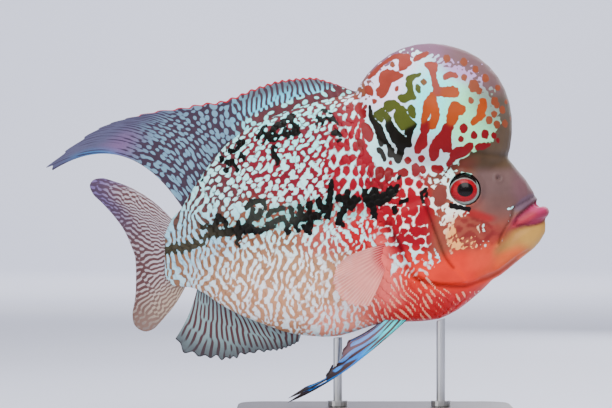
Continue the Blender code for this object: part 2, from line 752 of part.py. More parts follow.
def build_stand(clear_body, parts, paint):
    """Build the flat base and the two rods that hold the fish."""
    work = bmesh.new()
    bmesh.ops.create_cube(work, size=1.0)
    scale = Matrix.Diagonal((BASE_LENGTH * MM, BASE_WIDTH * MM, BASE_HEIGHT * MM, 1.0))
    place = Matrix.Translation((0.0, 0.0, 0.5 * BASE_HEIGHT * MM))
    bmesh.ops.transform(work, matrix=place @ scale, verts=work.verts)
    corners = [e for e in work.edges
               if abs(e.verts[0].co.z - e.verts[1].co.z) > 0.5 * BASE_HEIGHT * MM]
    bmesh.ops.bevel(work, geom=corners, offset=BASE_CORNER * MM, segments=6, profile=0.5,
                    affect="EDGES")
    top = [e for e in work.edges
           if all(v.co.z > (BASE_HEIGHT - 0.01) * MM for v in e.verts)
           and len(e.link_faces) == 2]
    bmesh.ops.bevel(work, geom=top, offset=BASE_EDGE * MM, segments=2, profile=0.5,
                    affect="EDGES")
    mesh = bpy.data.meshes.new("stand_base")
    work.to_mesh(mesh)
    work.free()
    mesh.materials.append(paint["wood"])
    base = bpy.data.objects.new("stand_base", mesh)
    parts.objects.link(base)

    for name, x in (("stand_rod_front", ROD_FRONT_X), ("stand_rod_rear", ROD_REAR_X)):
        foot = BASE_HEIGHT + GAP
        heights = (foot, foot + COLLAR_HEIGHT, foot + COLLAR_HEIGHT, ROD_REACH)
        radii = (COLLAR_RADIUS, COLLAR_RADIUS, ROD_RADIUS, ROD_RADIUS)
        points = []
        for height, radius in zip(heights, radii):
            for k in range(ROD_SIDES):
                angle = 2.0 * math.pi * k / ROD_SIDES
                points.append((x + radius * math.cos(angle), radius * math.sin(angle), height))
        faces = [list(range(ROD_SIDES))[::-1]]
        for row in range(len(heights) - 1):
            for k in range(ROD_SIDES):
                a, b = row * ROD_SIDES + k, row * ROD_SIDES + (k + 1) % ROD_SIDES
                faces.append([a, b, b + ROD_SIDES, a + ROD_SIDES])
        faces.append([(len(heights) - 1) * ROD_SIDES + k for k in range(ROD_SIDES)])
        rod = add_object(name, points, faces, parts, paint["steel"])
        cut(rod, [clear_body])


main()
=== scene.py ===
"""Dresses the flowerhorn cichlid: skin, scales, fins, eyes, stand and a plain studio.

Lengths in the dataclasses are millimetres in the model's frame: the fish faces +X, its
right flank is on the -Y side and +Z is up. They become metres when a mesh is made.
"""
import logging
import math
from dataclasses import dataclass, field
from enum import Enum
from typing import Any, Callable, Sequence

import bmesh
import bpy
import numpy as np
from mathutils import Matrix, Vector
from mathutils.bvhtree import BVHTree


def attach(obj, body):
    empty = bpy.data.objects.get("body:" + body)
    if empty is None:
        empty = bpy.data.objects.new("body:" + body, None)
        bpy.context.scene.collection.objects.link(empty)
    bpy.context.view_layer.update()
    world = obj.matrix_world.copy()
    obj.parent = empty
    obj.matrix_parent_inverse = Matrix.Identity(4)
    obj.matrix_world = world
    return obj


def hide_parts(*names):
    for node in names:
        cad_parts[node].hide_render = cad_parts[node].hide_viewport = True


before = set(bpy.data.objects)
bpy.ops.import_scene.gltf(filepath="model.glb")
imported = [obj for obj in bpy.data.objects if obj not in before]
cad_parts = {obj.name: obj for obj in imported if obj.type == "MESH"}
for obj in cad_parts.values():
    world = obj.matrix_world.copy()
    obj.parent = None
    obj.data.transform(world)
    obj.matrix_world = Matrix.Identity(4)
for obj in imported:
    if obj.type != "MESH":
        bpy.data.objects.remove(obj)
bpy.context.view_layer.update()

MM = 0.001
PHOTO_WIDE = 612
PHOTO_HIGH = 408
MM_PER_PIXEL = 0.563
# The photograph's pixel column over the stand's middle, and the height of its top edge.
MIDDLE_PIXEL = 375.0
TOP_LEVEL = 243.8
# A ray at a flank starts this far out, and is this many metres long.
BESIDE = 60.0
RAY = 0.07
# A mark's field gives millimetres inside its edge, and this is a place well outside it.
OUTSIDE = -6.0
LOG = logging.getLogger("flowerhorn")
Colour = tuple[float, float, float]
Array = np.ndarray
Piece = bpy.types.Object
Material = bpy.types.Material


@dataclass(frozen=True)
class Film:
    """Finds the paint that shows as a wanted colour under the studio's light and film.

    The film mixes the channels, bends them along a curve and parts them again. The matrices and
    the curve's gain, power and top undo that, and light is what the lamps throw on the fish.
    """

    mixed: tuple = ((1.0857, 1.0565, 0.0528), (0.2561, 2.0505, -0.1123), (0.2307, 0.7929, 1.2094))
    parted: tuple = ((1.4819, -0.7566, -0.1174), (-0.225, 0.9144, -0.0919),
                     (-0.143, -0.3132, 1.0288))
    gain: float = 0.3659
    power: float = 1.2858
    top: float = 1.3585
    light: tuple = (1.94, 2.1, 2.16)
    display: float = 2.2

    def paint(self, red: float, green: float, blue: float) -> Colour:
        """Turn the colour that should show into a paint's colour.

        Args:
            red: Red from 0 to 255.
            green: Green from 0 to 255.
            blue: Blue from 0 to 255.

        Returns:
            The paint's linear colour.
        """
        shown = (np.array([red, green, blue]) / 255.0) ** self.display
        level = np.maximum(np.array(self.mixed) @ shown, 1e-5) ** (1.0 / self.display)
        bright = self.gain * level ** self.power / np.maximum(self.top - level, 0.02)
        paint = np.clip(np.array(self.parted) @ bright / np.array(self.light), 0.0015, 0.88)
        return (float(paint[0]), float(paint[1]), float(paint[2]))


FILM = Film()


def srgb(red: float, green: float, blue: float) -> Colour:
    """Return the paint that shows as an 8-bit display colour."""
    return FILM.paint(red, green, blue)


def ease(t: Array) -> Array:
    """Ease from 0 to 1, elementwise."""
    t = np.clip(t, 0.0, 1.0)
    return t * t * (3.0 - 2.0 * t)


def through(stops: Sequence[tuple[float, float]], where: Array) -> Array:
    """Read a smooth curve through a few stops.

    Args:
        stops: Pairs of place and value, in rising order of place.
        where: The places to read.

    Returns:
        The value at each place.
    """
    knots = np.array([s[0] for s in stops], float)
    values = np.array([s[1] for s in stops], float)
    steps = np.diff(knots)
    slopes = np.diff(values) / steps
    tangents = np.zeros(len(knots))
    tangents[0], tangents[-1] = slopes[0], slopes[-1]
    for i in range(1, len(knots) - 1):
        if slopes[i - 1] * slopes[i] > 0.0:
            ahead = 2.0 * steps[i] + steps[i - 1]
            behind = steps[i] + 2.0 * steps[i - 1]
            tangents[i] = (ahead + behind) / (ahead / slopes[i - 1] + behind / slopes[i])
    where = np.clip(np.asarray(where, float), knots[0], knots[-1])
    i = np.clip(np.searchsorted(knots, where, side="right") - 1, 0, len(steps) - 1)
    t = (where - knots[i]) / steps[i]
    start = (1.0 + 2.0 * t) * (1.0 - t) ** 2 * values[i]
    end = t * t * (3.0 - 2.0 * t) * values[i + 1]
    leave = t * (1.0 - t) ** 2 * steps[i] * tangents[i]
    arrive = t * t * (t - 1.0) * steps[i] * tangents[i + 1]
    return start + end + leave + arrive


class Signal:
    """A shader value whose operators add Math nodes."""

    def __init__(self, graph: "Graph", socket: Any) -> None:
        """Wrap a socket of a graph."""
        self.graph = graph
        self.socket = socket

    def math(self, operation: str, first: Any, second: Any, clamp: bool = False) -> "Signal":
        """Add one Math node.

        Args:
            operation: The node's operation.
            first: The first value or signal.
            second: The second value or signal.
            clamp: Whether the result is kept between 0 and 1.

        Returns:
            The node's result.
        """
        node = self.graph.node("ShaderNodeMath", {"operation": operation, "use_clamp": clamp},
                               {0: first, 1: second})
        return Signal(self.graph, node.outputs[0])

    def __add__(self, other: Any) -> "Signal":
        """Add."""
        return self.math("ADD", self, other)

    def __radd__(self, other: Any) -> "Signal":
        """Add with the signal on the right."""
        return self.math("ADD", other, self)

    def __sub__(self, other: Any) -> "Signal":
        """Subtract."""
        return self.math("SUBTRACT", self, other)

    def __rsub__(self, other: Any) -> "Signal":
        """Subtract the signal from another value."""
        return self.math("SUBTRACT", other, self)

    def __mul__(self, other: Any) -> "Signal":
        """Multiply."""
        return self.math("MULTIPLY", self, other)

    def __rmul__(self, other: Any) -> "Signal":
        """Multiply with the signal on the right."""
        return self.math("MULTIPLY", other, self)

    def mask(self, gain: float) -> "Signal":
        """Turn a signed field into a mask with an edge as steep as the gain."""
        return self.math("MULTIPLY", self, gain).math_clamped("ADD", 0.5)

    def math_clamped(self, operation: str, other: Any) -> "Signal":
        """Add one Math node whose result is kept between 0 and 1."""
        return self.math(operation, self, other, clamp=True)


class Graph:
    """The nodes of one material."""

    def __init__(self, name: str) -> None:
        """Make an empty Principled material.

        Args:
            name: The material's name.
        """
        self.material = bpy.data.materials.new(name)
        self.material.use_nodes = True
        self.tree = self.material.node_tree
        self.shader = self.tree.nodes["Principled BSDF"]

    def node(self, kind: str, settings: dict[str, Any], inputs: dict[Any, Any]) -> Any:
        """Add one node.

        Args:
            kind: The node's type.
            settings: Its properties, which are set first.
            inputs: Values or links for its sockets, by name or number.

        Returns:
            The node.
        """
        node = self.tree.nodes.new(kind)
        for name, value in settings.items():
            setattr(node, name, value)
        for key, value in inputs.items():
            self.feed(node.inputs[key], value)
        return node

    def feed(self, socket: Any, value: Any) -> None:
        """Link a signal to a socket, or set its value.

        Args:
            socket: The socket.
            value: The signal, or a plain value.
        """
        if isinstance(value, Signal):
            self.tree.links.new(value.socket, socket)
        else:
            socket.default_value = value

    def attribute(self, name: str) -> Signal:
        """Read a number stored on the mesh."""
        node = self.node("ShaderNodeAttribute", {"attribute_name": name}, {})
        return Signal(self, node.outputs["Fac"])

    def paint(self, name: str) -> Signal:
        """Read a colour stored on the mesh."""
        node = self.node("ShaderNodeAttribute", {"attribute_name": name}, {})
        return Signal(self, node.outputs["Color"])

    def noise(self, scale: float, detail: float = 2.0, stretch: Colour = (1.0, 1.0, 1.0)) -> Signal:
        """Add object-space noise.

        Args:
            scale: Features for each metre.
            detail: Octaves.
            stretch: Scale along each axis.

        Returns:
            The noise, around 0.5.
        """
        place = self.node("ShaderNodeTexCoord", {}, {}).outputs["Object"]
        mapping = self.node("ShaderNodeMapping", {}, {0: Signal(self, place), "Scale": stretch})
        node = self.node("ShaderNodeTexNoise", {},
                         {"Vector": Signal(self, mapping.outputs[0]), "Scale": scale,
                          "Detail": detail})
        return Signal(self, node.outputs["Fac"])

    def mix(self, factor: Any, under: Any, over: Any) -> Signal:
        """Lay one colour over another.

        Args:
            factor: How much of the upper colour shows.
            under: The lower colour.
            over: The upper colour.

        Returns:
            The mixed colour.
        """
        node = self.node("ShaderNodeMix", {"data_type": "RGBA", "clamp_factor": True},
                         {"Factor": factor})
        self.feed(node.inputs[6], self.whole(under))
        self.feed(node.inputs[7], self.whole(over))
        return Signal(self, node.outputs[2])

    def whole(self, colour: Any) -> Any:
        """Give a plain colour its alpha."""
        return colour if isinstance(colour, Signal) else (*colour, 1.0)

    def scaled(self, colour: Signal, amount: Any) -> Signal:
        """Brighten or darken a colour by a value."""
        node = self.node("ShaderNodeVectorMath", {"operation": "SCALE"}, {0: colour, "Scale": amount})
        return Signal(self, node.outputs[0])

    def bump(self, height: Signal, strength: float, distance: float) -> Signal:
        """Turn a height into a normal."""
        inputs = {"Height": height, "Strength": strength, "Distance": distance}
        return Signal(self, self.node("ShaderNodeBump", {}, inputs).outputs[0])

    def finish(self, **sockets: Any) -> Material:
        """Set the shader's sockets and return the material.

        Args:
            **sockets: Values or signals by socket name, with _ for each space.

        Returns:
            The material.
        """
        for name, value in sockets.items():
            self.feed(self.shader.inputs[name.replace("_", " ")], value)
        return self.material


@dataclass(frozen=True)
class SkinFinish:
    """Wet skin with painted ground, pearl marks, hump patches and black ink. The ground includes painted
    shade in the head's folds and under the hump.
    """

    name: str
    edge: float = 3.4
    roughness: float = 0.4
    coat: float = 0.05
    gloss: float = 0.14
    grain: float = 900.0

    def make(self) -> Material:
        """Build the material.

        Returns:
            The material.
        """
        graph = Graph(self.name)
        mark = graph.attribute("mark").mask(self.edge)
        patch = graph.attribute("patch").mask(self.edge)
        patch_too = graph.attribute("patch_too").mask(self.edge)
        ink = graph.attribute("ink").mask(self.edge)
        cloud = graph.noise(90.0, 4.0)
        speck = graph.noise(self.grain, 3.0)
        ground = graph.scaled(graph.paint("ground"), 0.72 + 0.56 * cloud)
        pearl = graph.scaled(graph.paint("mark_tint"), 0.84 + 0.3 * speck)
        blotch = graph.scaled(graph.paint("patch_tint"), 0.7 + 0.6 * cloud)
        colour = graph.mix(mark, ground, pearl)
        colour = graph.mix(patch, colour, blotch)
        colour = graph.mix(patch_too, colour, blotch)
        colour = graph.mix(ink, colour, graph.paint("ink_tint"))
        roughness = self.roughness + 0.14 * speck - 0.1 * mark
        height = 0.5 * speck + 0.5 * mark * (1.0 - ink)
        return graph.finish(Base_Color=colour, Roughness=roughness,
                            Normal=graph.bump(height, 0.35, 0.0002),
                            Coat_Weight=self.coat, Coat_Roughness=0.2, IOR=1.36,
                            Specular_IOR_Level=self.gloss)


@dataclass(frozen=True)
class FinFinish:
    """A fin's membrane, painted by its fields, with rays that catch the light."""

    name: str
    edge: float = 2.4
    clear: bool = False

    def make(self) -> Material:
        """Build the material.

        Returns:
            The material.
        """
        graph = Graph(self.name)
        mark = graph.attribute("mark").mask(self.edge)
        ink = graph.attribute("ink").mask(self.edge)
        cloud = graph.noise(140.0, 3.0)
        speck = graph.noise(1100.0, 2.0)
        ground = graph.scaled(graph.paint("ground"), 0.75 + 0.5 * cloud)
        pearl = graph.scaled(graph.paint("mark_tint"), 0.85 + 0.3 * speck)
        colour = graph.mix(mark, ground, pearl)
        colour = graph.mix(ink, colour, graph.paint("ink_tint"))
        alpha = graph.attribute("alpha") if self.clear else 1.0
        return graph.finish(Base_Color=colour, Roughness=0.34 + 0.18 * speck, Alpha=alpha,
                            Normal=graph.bump(0.6 * speck + 0.4 * mark, 0.3, 0.00015),
                            Coat_Weight=0.05, Coat_Roughness=0.2, Specular_IOR_Level=0.2)


@dataclass(frozen=True)
class EyeFinish:
    """A wet eye: painted iris and pupil, and the brow's painted shadow on its top, under a clear gloss.
    """

    name: str

    def make(self) -> Material:
        """Build the material.

        Returns:
            The material.
        """
        graph = Graph(self.name)
        fleck = graph.noise(1500.0, 3.0)
        colour = graph.scaled(graph.paint("ground"), 0.7 + 0.6 * fleck)
        ink = graph.attribute("ink").mask(2.5)
        # Black over the pupil and over the brow's painted shadow at the top of the eye.
        colour = graph.mix(ink, colour, (0.004, 0.003, 0.003))
        return graph.finish(Base_Color=colour, Roughness=0.22 + 0.1 * fleck, Coat_Weight=0.12,
                            Coat_Roughness=0.05, Specular_IOR_Level=0.1)


@dataclass(frozen=True)
class WoodFinish:
    """Dark oiled wood with a long grain along X."""

    name: str
    dark: Colour = srgb(38, 27, 22)
    light: Colour = srgb(86, 60, 44)

    def make(self) -> Material:
        """Build the material.

        Returns:
            The material.
        """
        graph = Graph(self.name)
        grain = graph.noise(60.0, 6.0, (0.35, 5.0, 5.0))
        pore = graph.noise(700.0, 2.0, (0.12, 3.0, 3.0))
        share = (grain * 2.2 - 0.6) * (0.7 + 0.5 * pore)
        colour = graph.mix(share, self.dark, self.light)
        return graph.finish(Base_Color=colour, Roughness=0.36 + 0.2 * pore,
                            Normal=graph.bump(pore, 0.25, 0.0002), Coat_Weight=0.2,
                            Coat_Roughness=0.3)


@dataclass(frozen=True)
class SteelFinish:
    """Satin steel, brushed along the rod."""

    name: str

    def make(self) -> Material:
        """Build the material.

        Returns:
            The material.
        """
        graph = Graph(self.name)
        brush = graph.noise(900.0, 2.0, (3.0, 3.0, 0.06))
        colour = graph.mix(brush, (0.42, 0.42, 0.43), (0.62, 0.62, 0.62))
        return graph.finish(Base_Color=colour, Roughness=0.24 + 0.2 * brush, Metallic=1.0,
                            Normal=graph.bump(brush, 0.1, 0.0001))


@dataclass(frozen=True)
class FloorFinish:
    """A plain pale studio surface."""

    name: str
    tone: Colour = srgb(206, 210, 214)

    def make(self) -> Material:
        """Build the material.

        Returns:
            The material.
        """
        graph = Graph(self.name)
        cloud = graph.noise(2.0, 2.0)
        colour = graph.mix(0.15 * cloud, self.tone, (1.0, 1.0, 1.0))
        return graph.finish(Base_Color=colour, Roughness=0.75)


@dataclass(frozen=True)
class Wash:
    """A soft tilted ellipse on the fish's side, painted like an airbrush."""

    x: float
    z: float
    long: float
    high: float
    tilt: float = 0.0
    soft: float = 0.35

    def weight(self, x: Array, z: Array) -> Array:
        """Read how strong the wash is.

        Args:
            x: Places along the fish.
            z: Places up the fish.

        Returns:
            Weights from 0 to 1.
        """
        c, s = math.cos(math.radians(self.tilt)), math.sin(math.radians(self.tilt))
        u = ((x - self.x) * c + (z - self.z) * s) / self.long
        v = ((z - self.z) * c - (x - self.x) * s) / self.high
        reach = np.sqrt(u * u + v * v)
        return ease((1.0 + self.soft - reach) / (2.0 * self.soft))


def mingle(colours: Any, other: Colour, share: Array) -> Array:
    """Blend another colour into one or many colours by a share at each place."""
    share = np.clip(share, 0.0, 1.0)[:, None]
    return np.array(colours) * (1.0 - share) + np.array(other) * share


def even(colour: Colour, places: Array) -> Array:
    """Give every place the same colour."""
    return np.tile(np.array(colour), (len(places), 1))


def lay(first: Colour, washes: tuple, x: Array, z: Array) -> Array:
    """Lay washes of colour over a first colour.

    Args:
        first: The colour under them.
        washes: Each wash with its colour and its strength.
        x: Places along the fish.
        z: Places up the fish.

    Returns:
        The colour at each place.
    """
    colours = even(first, x)
    for wash, tint, strength in washes:
        colours = mingle(colours, tint, wash.weight(x, z) * strength)
    return colours


@dataclass(frozen=True)
class Ripple:
    """An even, wandering stripe pattern: a sum of waves of about one wavelength."""

    wavelength: float
    heading: float
    spread: float
    seed: int
    waves: int = 20

    def at(self, x: Array, z: Array, turn: int = 0) -> Array:
        """Read the pattern.

        Args:
            x: Places along the fish.
            z: Places up the fish.
            turn: Added to the seed, for a different draw of the same pattern.

        Returns:
            Values around 0 with a spread of about 1.
        """
        draw = np.random.default_rng(self.seed + turn)
        angles = np.radians(self.heading + self.spread * draw.uniform(-1.0, 1.0, self.waves))
        sizes = 2.0 * math.pi / self.wavelength * (1.0 + 0.1 * draw.standard_normal(self.waves))
        phases = draw.uniform(0.0, 2.0 * math.pi, self.waves)
        total = np.zeros(len(x))
        for angle, size, phase in zip(angles, sizes, phases):
            total += np.cos(size * (math.cos(angle) * x + math.sin(angle) * z) + phase)
        return total * math.sqrt(2.0 / self.waves)


class Tint(Enum):
    """The colours of the patches on the hump."""

    BROWN = srgb(172, 80, 62)
    OLIVE = srgb(92, 98, 22)
    BLACK = srgb(16, 13, 8)
    ORANGE = srgb(186, 88, 26)
    RED = srgb(146, 20, 22)
    SPOT = srgb(160, 86, 56)


@dataclass(frozen=True)
class Patch:
    """A coloured patch on the hump, named by a few points of its outline."""

    tint: Tint
    layer: int
    outline: tuple
    cut: float = 0.22
    rounds: int = 2
    margin: float = 5.0

    def rounded(self) -> Array:
        """Round the outline by cutting its corners.

        Returns:
            The points of the closed outline.
        """
        line, keep = np.array(self.outline), 1.0 - self.cut
        for _ in range(self.rounds):
            after = np.roll(line, -1, axis=0)
            line = np.stack([keep * line + self.cut * after, self.cut * line + keep * after], axis=1)
            line = line.reshape(-1, 2)
        return line

    def field(self, x: Array, z: Array) -> Array:
        """Read how far inside the outline each place is.

        Args:
            x: Places along the fish.
            z: Places up the fish.

        Returns:
            Millimetres inside, and less than 0 outside.
        """
        line = self.rounded()
        result = np.full(len(x), OUTSIDE)
        low, high = line.min(axis=0) - self.margin, line.max(axis=0) + self.margin
        near = np.flatnonzero((x > low[0]) & (x < high[0]) & (z > low[1]) & (z < high[1]))
        px, pz = x[near], z[near]
        best = np.full(len(near), 1e9)
        inside = np.zeros(len(near), bool)
        for (ax, az), (bx, bz) in zip(line, np.roll(line, -1, axis=0)):
            dx, dz = bx - ax, bz - az
            t = np.clip(((px - ax) * dx + (pz - az) * dz) / max(dx * dx + dz * dz, 1e-9), 0.0, 1.0)
            best = np.minimum(best, (px - ax - t * dx) ** 2 + (pz - az - t * dz) ** 2)
            if abs(dz) > 1e-9:
                crosses = ((az > pz) != (bz > pz)) & (px < dx * (pz - az) / dz + ax)
                inside ^= crosses
        result[near] = np.where(inside, 1.0, -1.0) * np.sqrt(best)
        return result


@dataclass
class FlankMap:
    """Unwraps the flanks: how far round the body a place lies from the dark band."""

    tree: BVHTree
    start: float = -119.0
    end: float = 64.0
    step: float = 3.0
    sweep: float = 86.0
    rays: int = 59
    reach: float = 0.1
    fallback: float = 9.0

    def __post_init__(self) -> None:
        """Measure the body's girth at even places along the fish."""
        self.xs = np.arange(self.start, self.end + self.step, self.step)
        self.columns = [self.girth(float(x)) for x in self.xs]

    def girth(self, x: float) -> tuple[Array, Array]:
        """Measure the right flank at one x.

        Args:
            x: The place along the fish.

        Returns:
            Arc length up from the band, and height, of points up the flank.
        """
        level = band_level(x)
        hits = []
        for angle in np.radians(np.linspace(-self.sweep, self.sweep, self.rays)):
            aim = Vector((0.0, -math.cos(angle), math.sin(angle)))
            start = Vector((x, 0.0, level)) * MM + aim * self.reach
            hit = self.tree.ray_cast(start, -aim, self.reach)[0]
            if hit is not None:
                hits.append((hit.y / MM, hit.z / MM))
        if len(hits) <= 8:
            hits = [(0.0, level - self.fallback), (0.0, level + self.fallback)]
        line = np.array(hits)
        arc = np.concatenate([[0.0], np.cumsum(np.hypot(*np.diff(line, axis=0).T))])
        return arc - np.interp(level, line[:, 1], arc), line[:, 1]

    def read(self, x: Array, z: Array) -> Array:
        """Turn height into arc length.

        Args:
            x: Places along the fish.
            z: Places up the fish.

        Returns:
            Arc length up from the band.
        """
        cell = np.clip((x - self.start) / self.step, 0.0, len(self.xs) - 1.001)
        index = cell.astype(int)
        arc = np.zeros(len(x))
        for k in range(len(self.xs) - 1):
            here = np.flatnonzero(index == k)
            if len(here):
                share = cell[here] - k
                first, second = self.columns[k], self.columns[k + 1]
                arc[here] = (np.interp(z[here], first[1], first[0]) * (1.0 - share)
                             + np.interp(z[here], second[1], second[0]) * share)
        return arc


@dataclass(frozen=True)
class Pearls:
    """Pearly marks, one on each scale, each with its own size, lean and place."""

    pitch: float
    row: float
    seed: int
    loose: float = 0.16
    drawn_rows: int = 97
    drawn_columns: int = 89
    sharp: float = 5.0

    def at(self, x: Array, arc: Array, long: Array, high: Array,
           lean: Array, turn: int = 0) -> Array:
        """Read the marks.

        Args:
            x: Places along the fish.
            arc: Arc length up from the band.
            long: Half-length of a mark along the fish.
            high: Half-height of a mark.
            lean: How far the marks lean, in radians.
            turn: Added to the seed, for a different draw.

        Returns:
            About how many millimetres inside a mark each place is.
        """
        draw = np.random.default_rng(self.seed + turn)
        table = draw.uniform(-1.0, 1.0, (self.drawn_rows, self.drawn_columns, 5))
        row_now = np.round(arc / self.row).astype(int)
        total = np.zeros(len(x))
        for step_row in (-1, 0, 1):
            row = row_now + step_row
            shift = 0.5 * (row % 2)
            column_now = np.round(x / self.pitch - shift).astype(int)
            for step_column in (-1, 0, 1):
                column = column_now + step_column
                own = table[row % self.drawn_rows, column % self.drawn_columns]
                dx = x - (column + shift + self.loose * own[:, 0]) * self.pitch
                ds = arc - (row + self.loose * own[:, 1]) * self.row
                angle = lean + 2.8 * self.loose * own[:, 2]
                along = dx * np.cos(angle) + ds * np.sin(angle)
                up = ds * np.cos(angle) - dx * np.sin(angle)
                reach = np.hypot(along / (long * (1.0 + 1.35 * self.loose * own[:, 3])),
                                 up / (high * (1.0 + 1.8 * self.loose * own[:, 4])))
                total += np.exp(np.clip(self.sharp * (1.0 - reach), -12.0, 5.0))
        return np.log(total + 1e-6) / self.sharp * long


@dataclass(frozen=True)
class Stroke:
    """A round-ended brush stroke on the fish's side."""

    x1: float
    z1: float
    x2: float
    z2: float
    radius: float

    def field(self, x: Array, z: Array) -> Array:
        """Read how far inside the stroke each place is.

        Args:
            x: Places along the fish.
            z: Places up the fish.

        Returns:
            Millimetres inside, and less than 0 outside.
        """
        dx, dz = self.x2 - self.x1, self.z2 - self.z1
        size = max(dx * dx + dz * dz, 1e-6)
        t = np.clip(((x - self.x1) * dx + (z - self.z1) * dz) / size, 0.0, 1.0)
        return self.radius - np.hypot(x - self.x1 - t * dx, z - self.z1 - t * dz)


@dataclass(frozen=True)
class Crease:
    """A groove or ridge along a smooth curve on each side of the head."""

    stops: tuple
    width: float
    depth: float

    def near(self, x: Array, z: Array) -> Array:
        """Read how close each place is to the curve.

        Args:
            x: Places along the fish.
            z: Places up the fish.

        Returns:
            1 on the curve and 0 away from it.
        """
        shares = [k / (len(self.stops) - 1) for k in range(len(self.stops))]
        fine = np.linspace(0.0, 1.0, 36)
        line_x = through([(s, p[0]) for s, p in zip(shares, self.stops)], fine)
        line_z = through([(s, p[1]) for s, p in zip(shares, self.stops)], fine)
        best = np.full(len(x), 1e9)
        for k in range(len(fine) - 1):
            dx, dz = line_x[k + 1] - line_x[k], line_z[k + 1] - line_z[k]
            size = max(dx * dx + dz * dz, 1e-9)
            t = np.clip(((x - line_x[k]) * dx + (z - line_z[k]) * dz) / size, 0.0, 1.0)
            away = (x - line_x[k] - t * dx) ** 2 + (z - line_z[k] - t * dz) ** 2
            best = np.minimum(best, away)
        return np.exp(-best / (self.width * self.width))


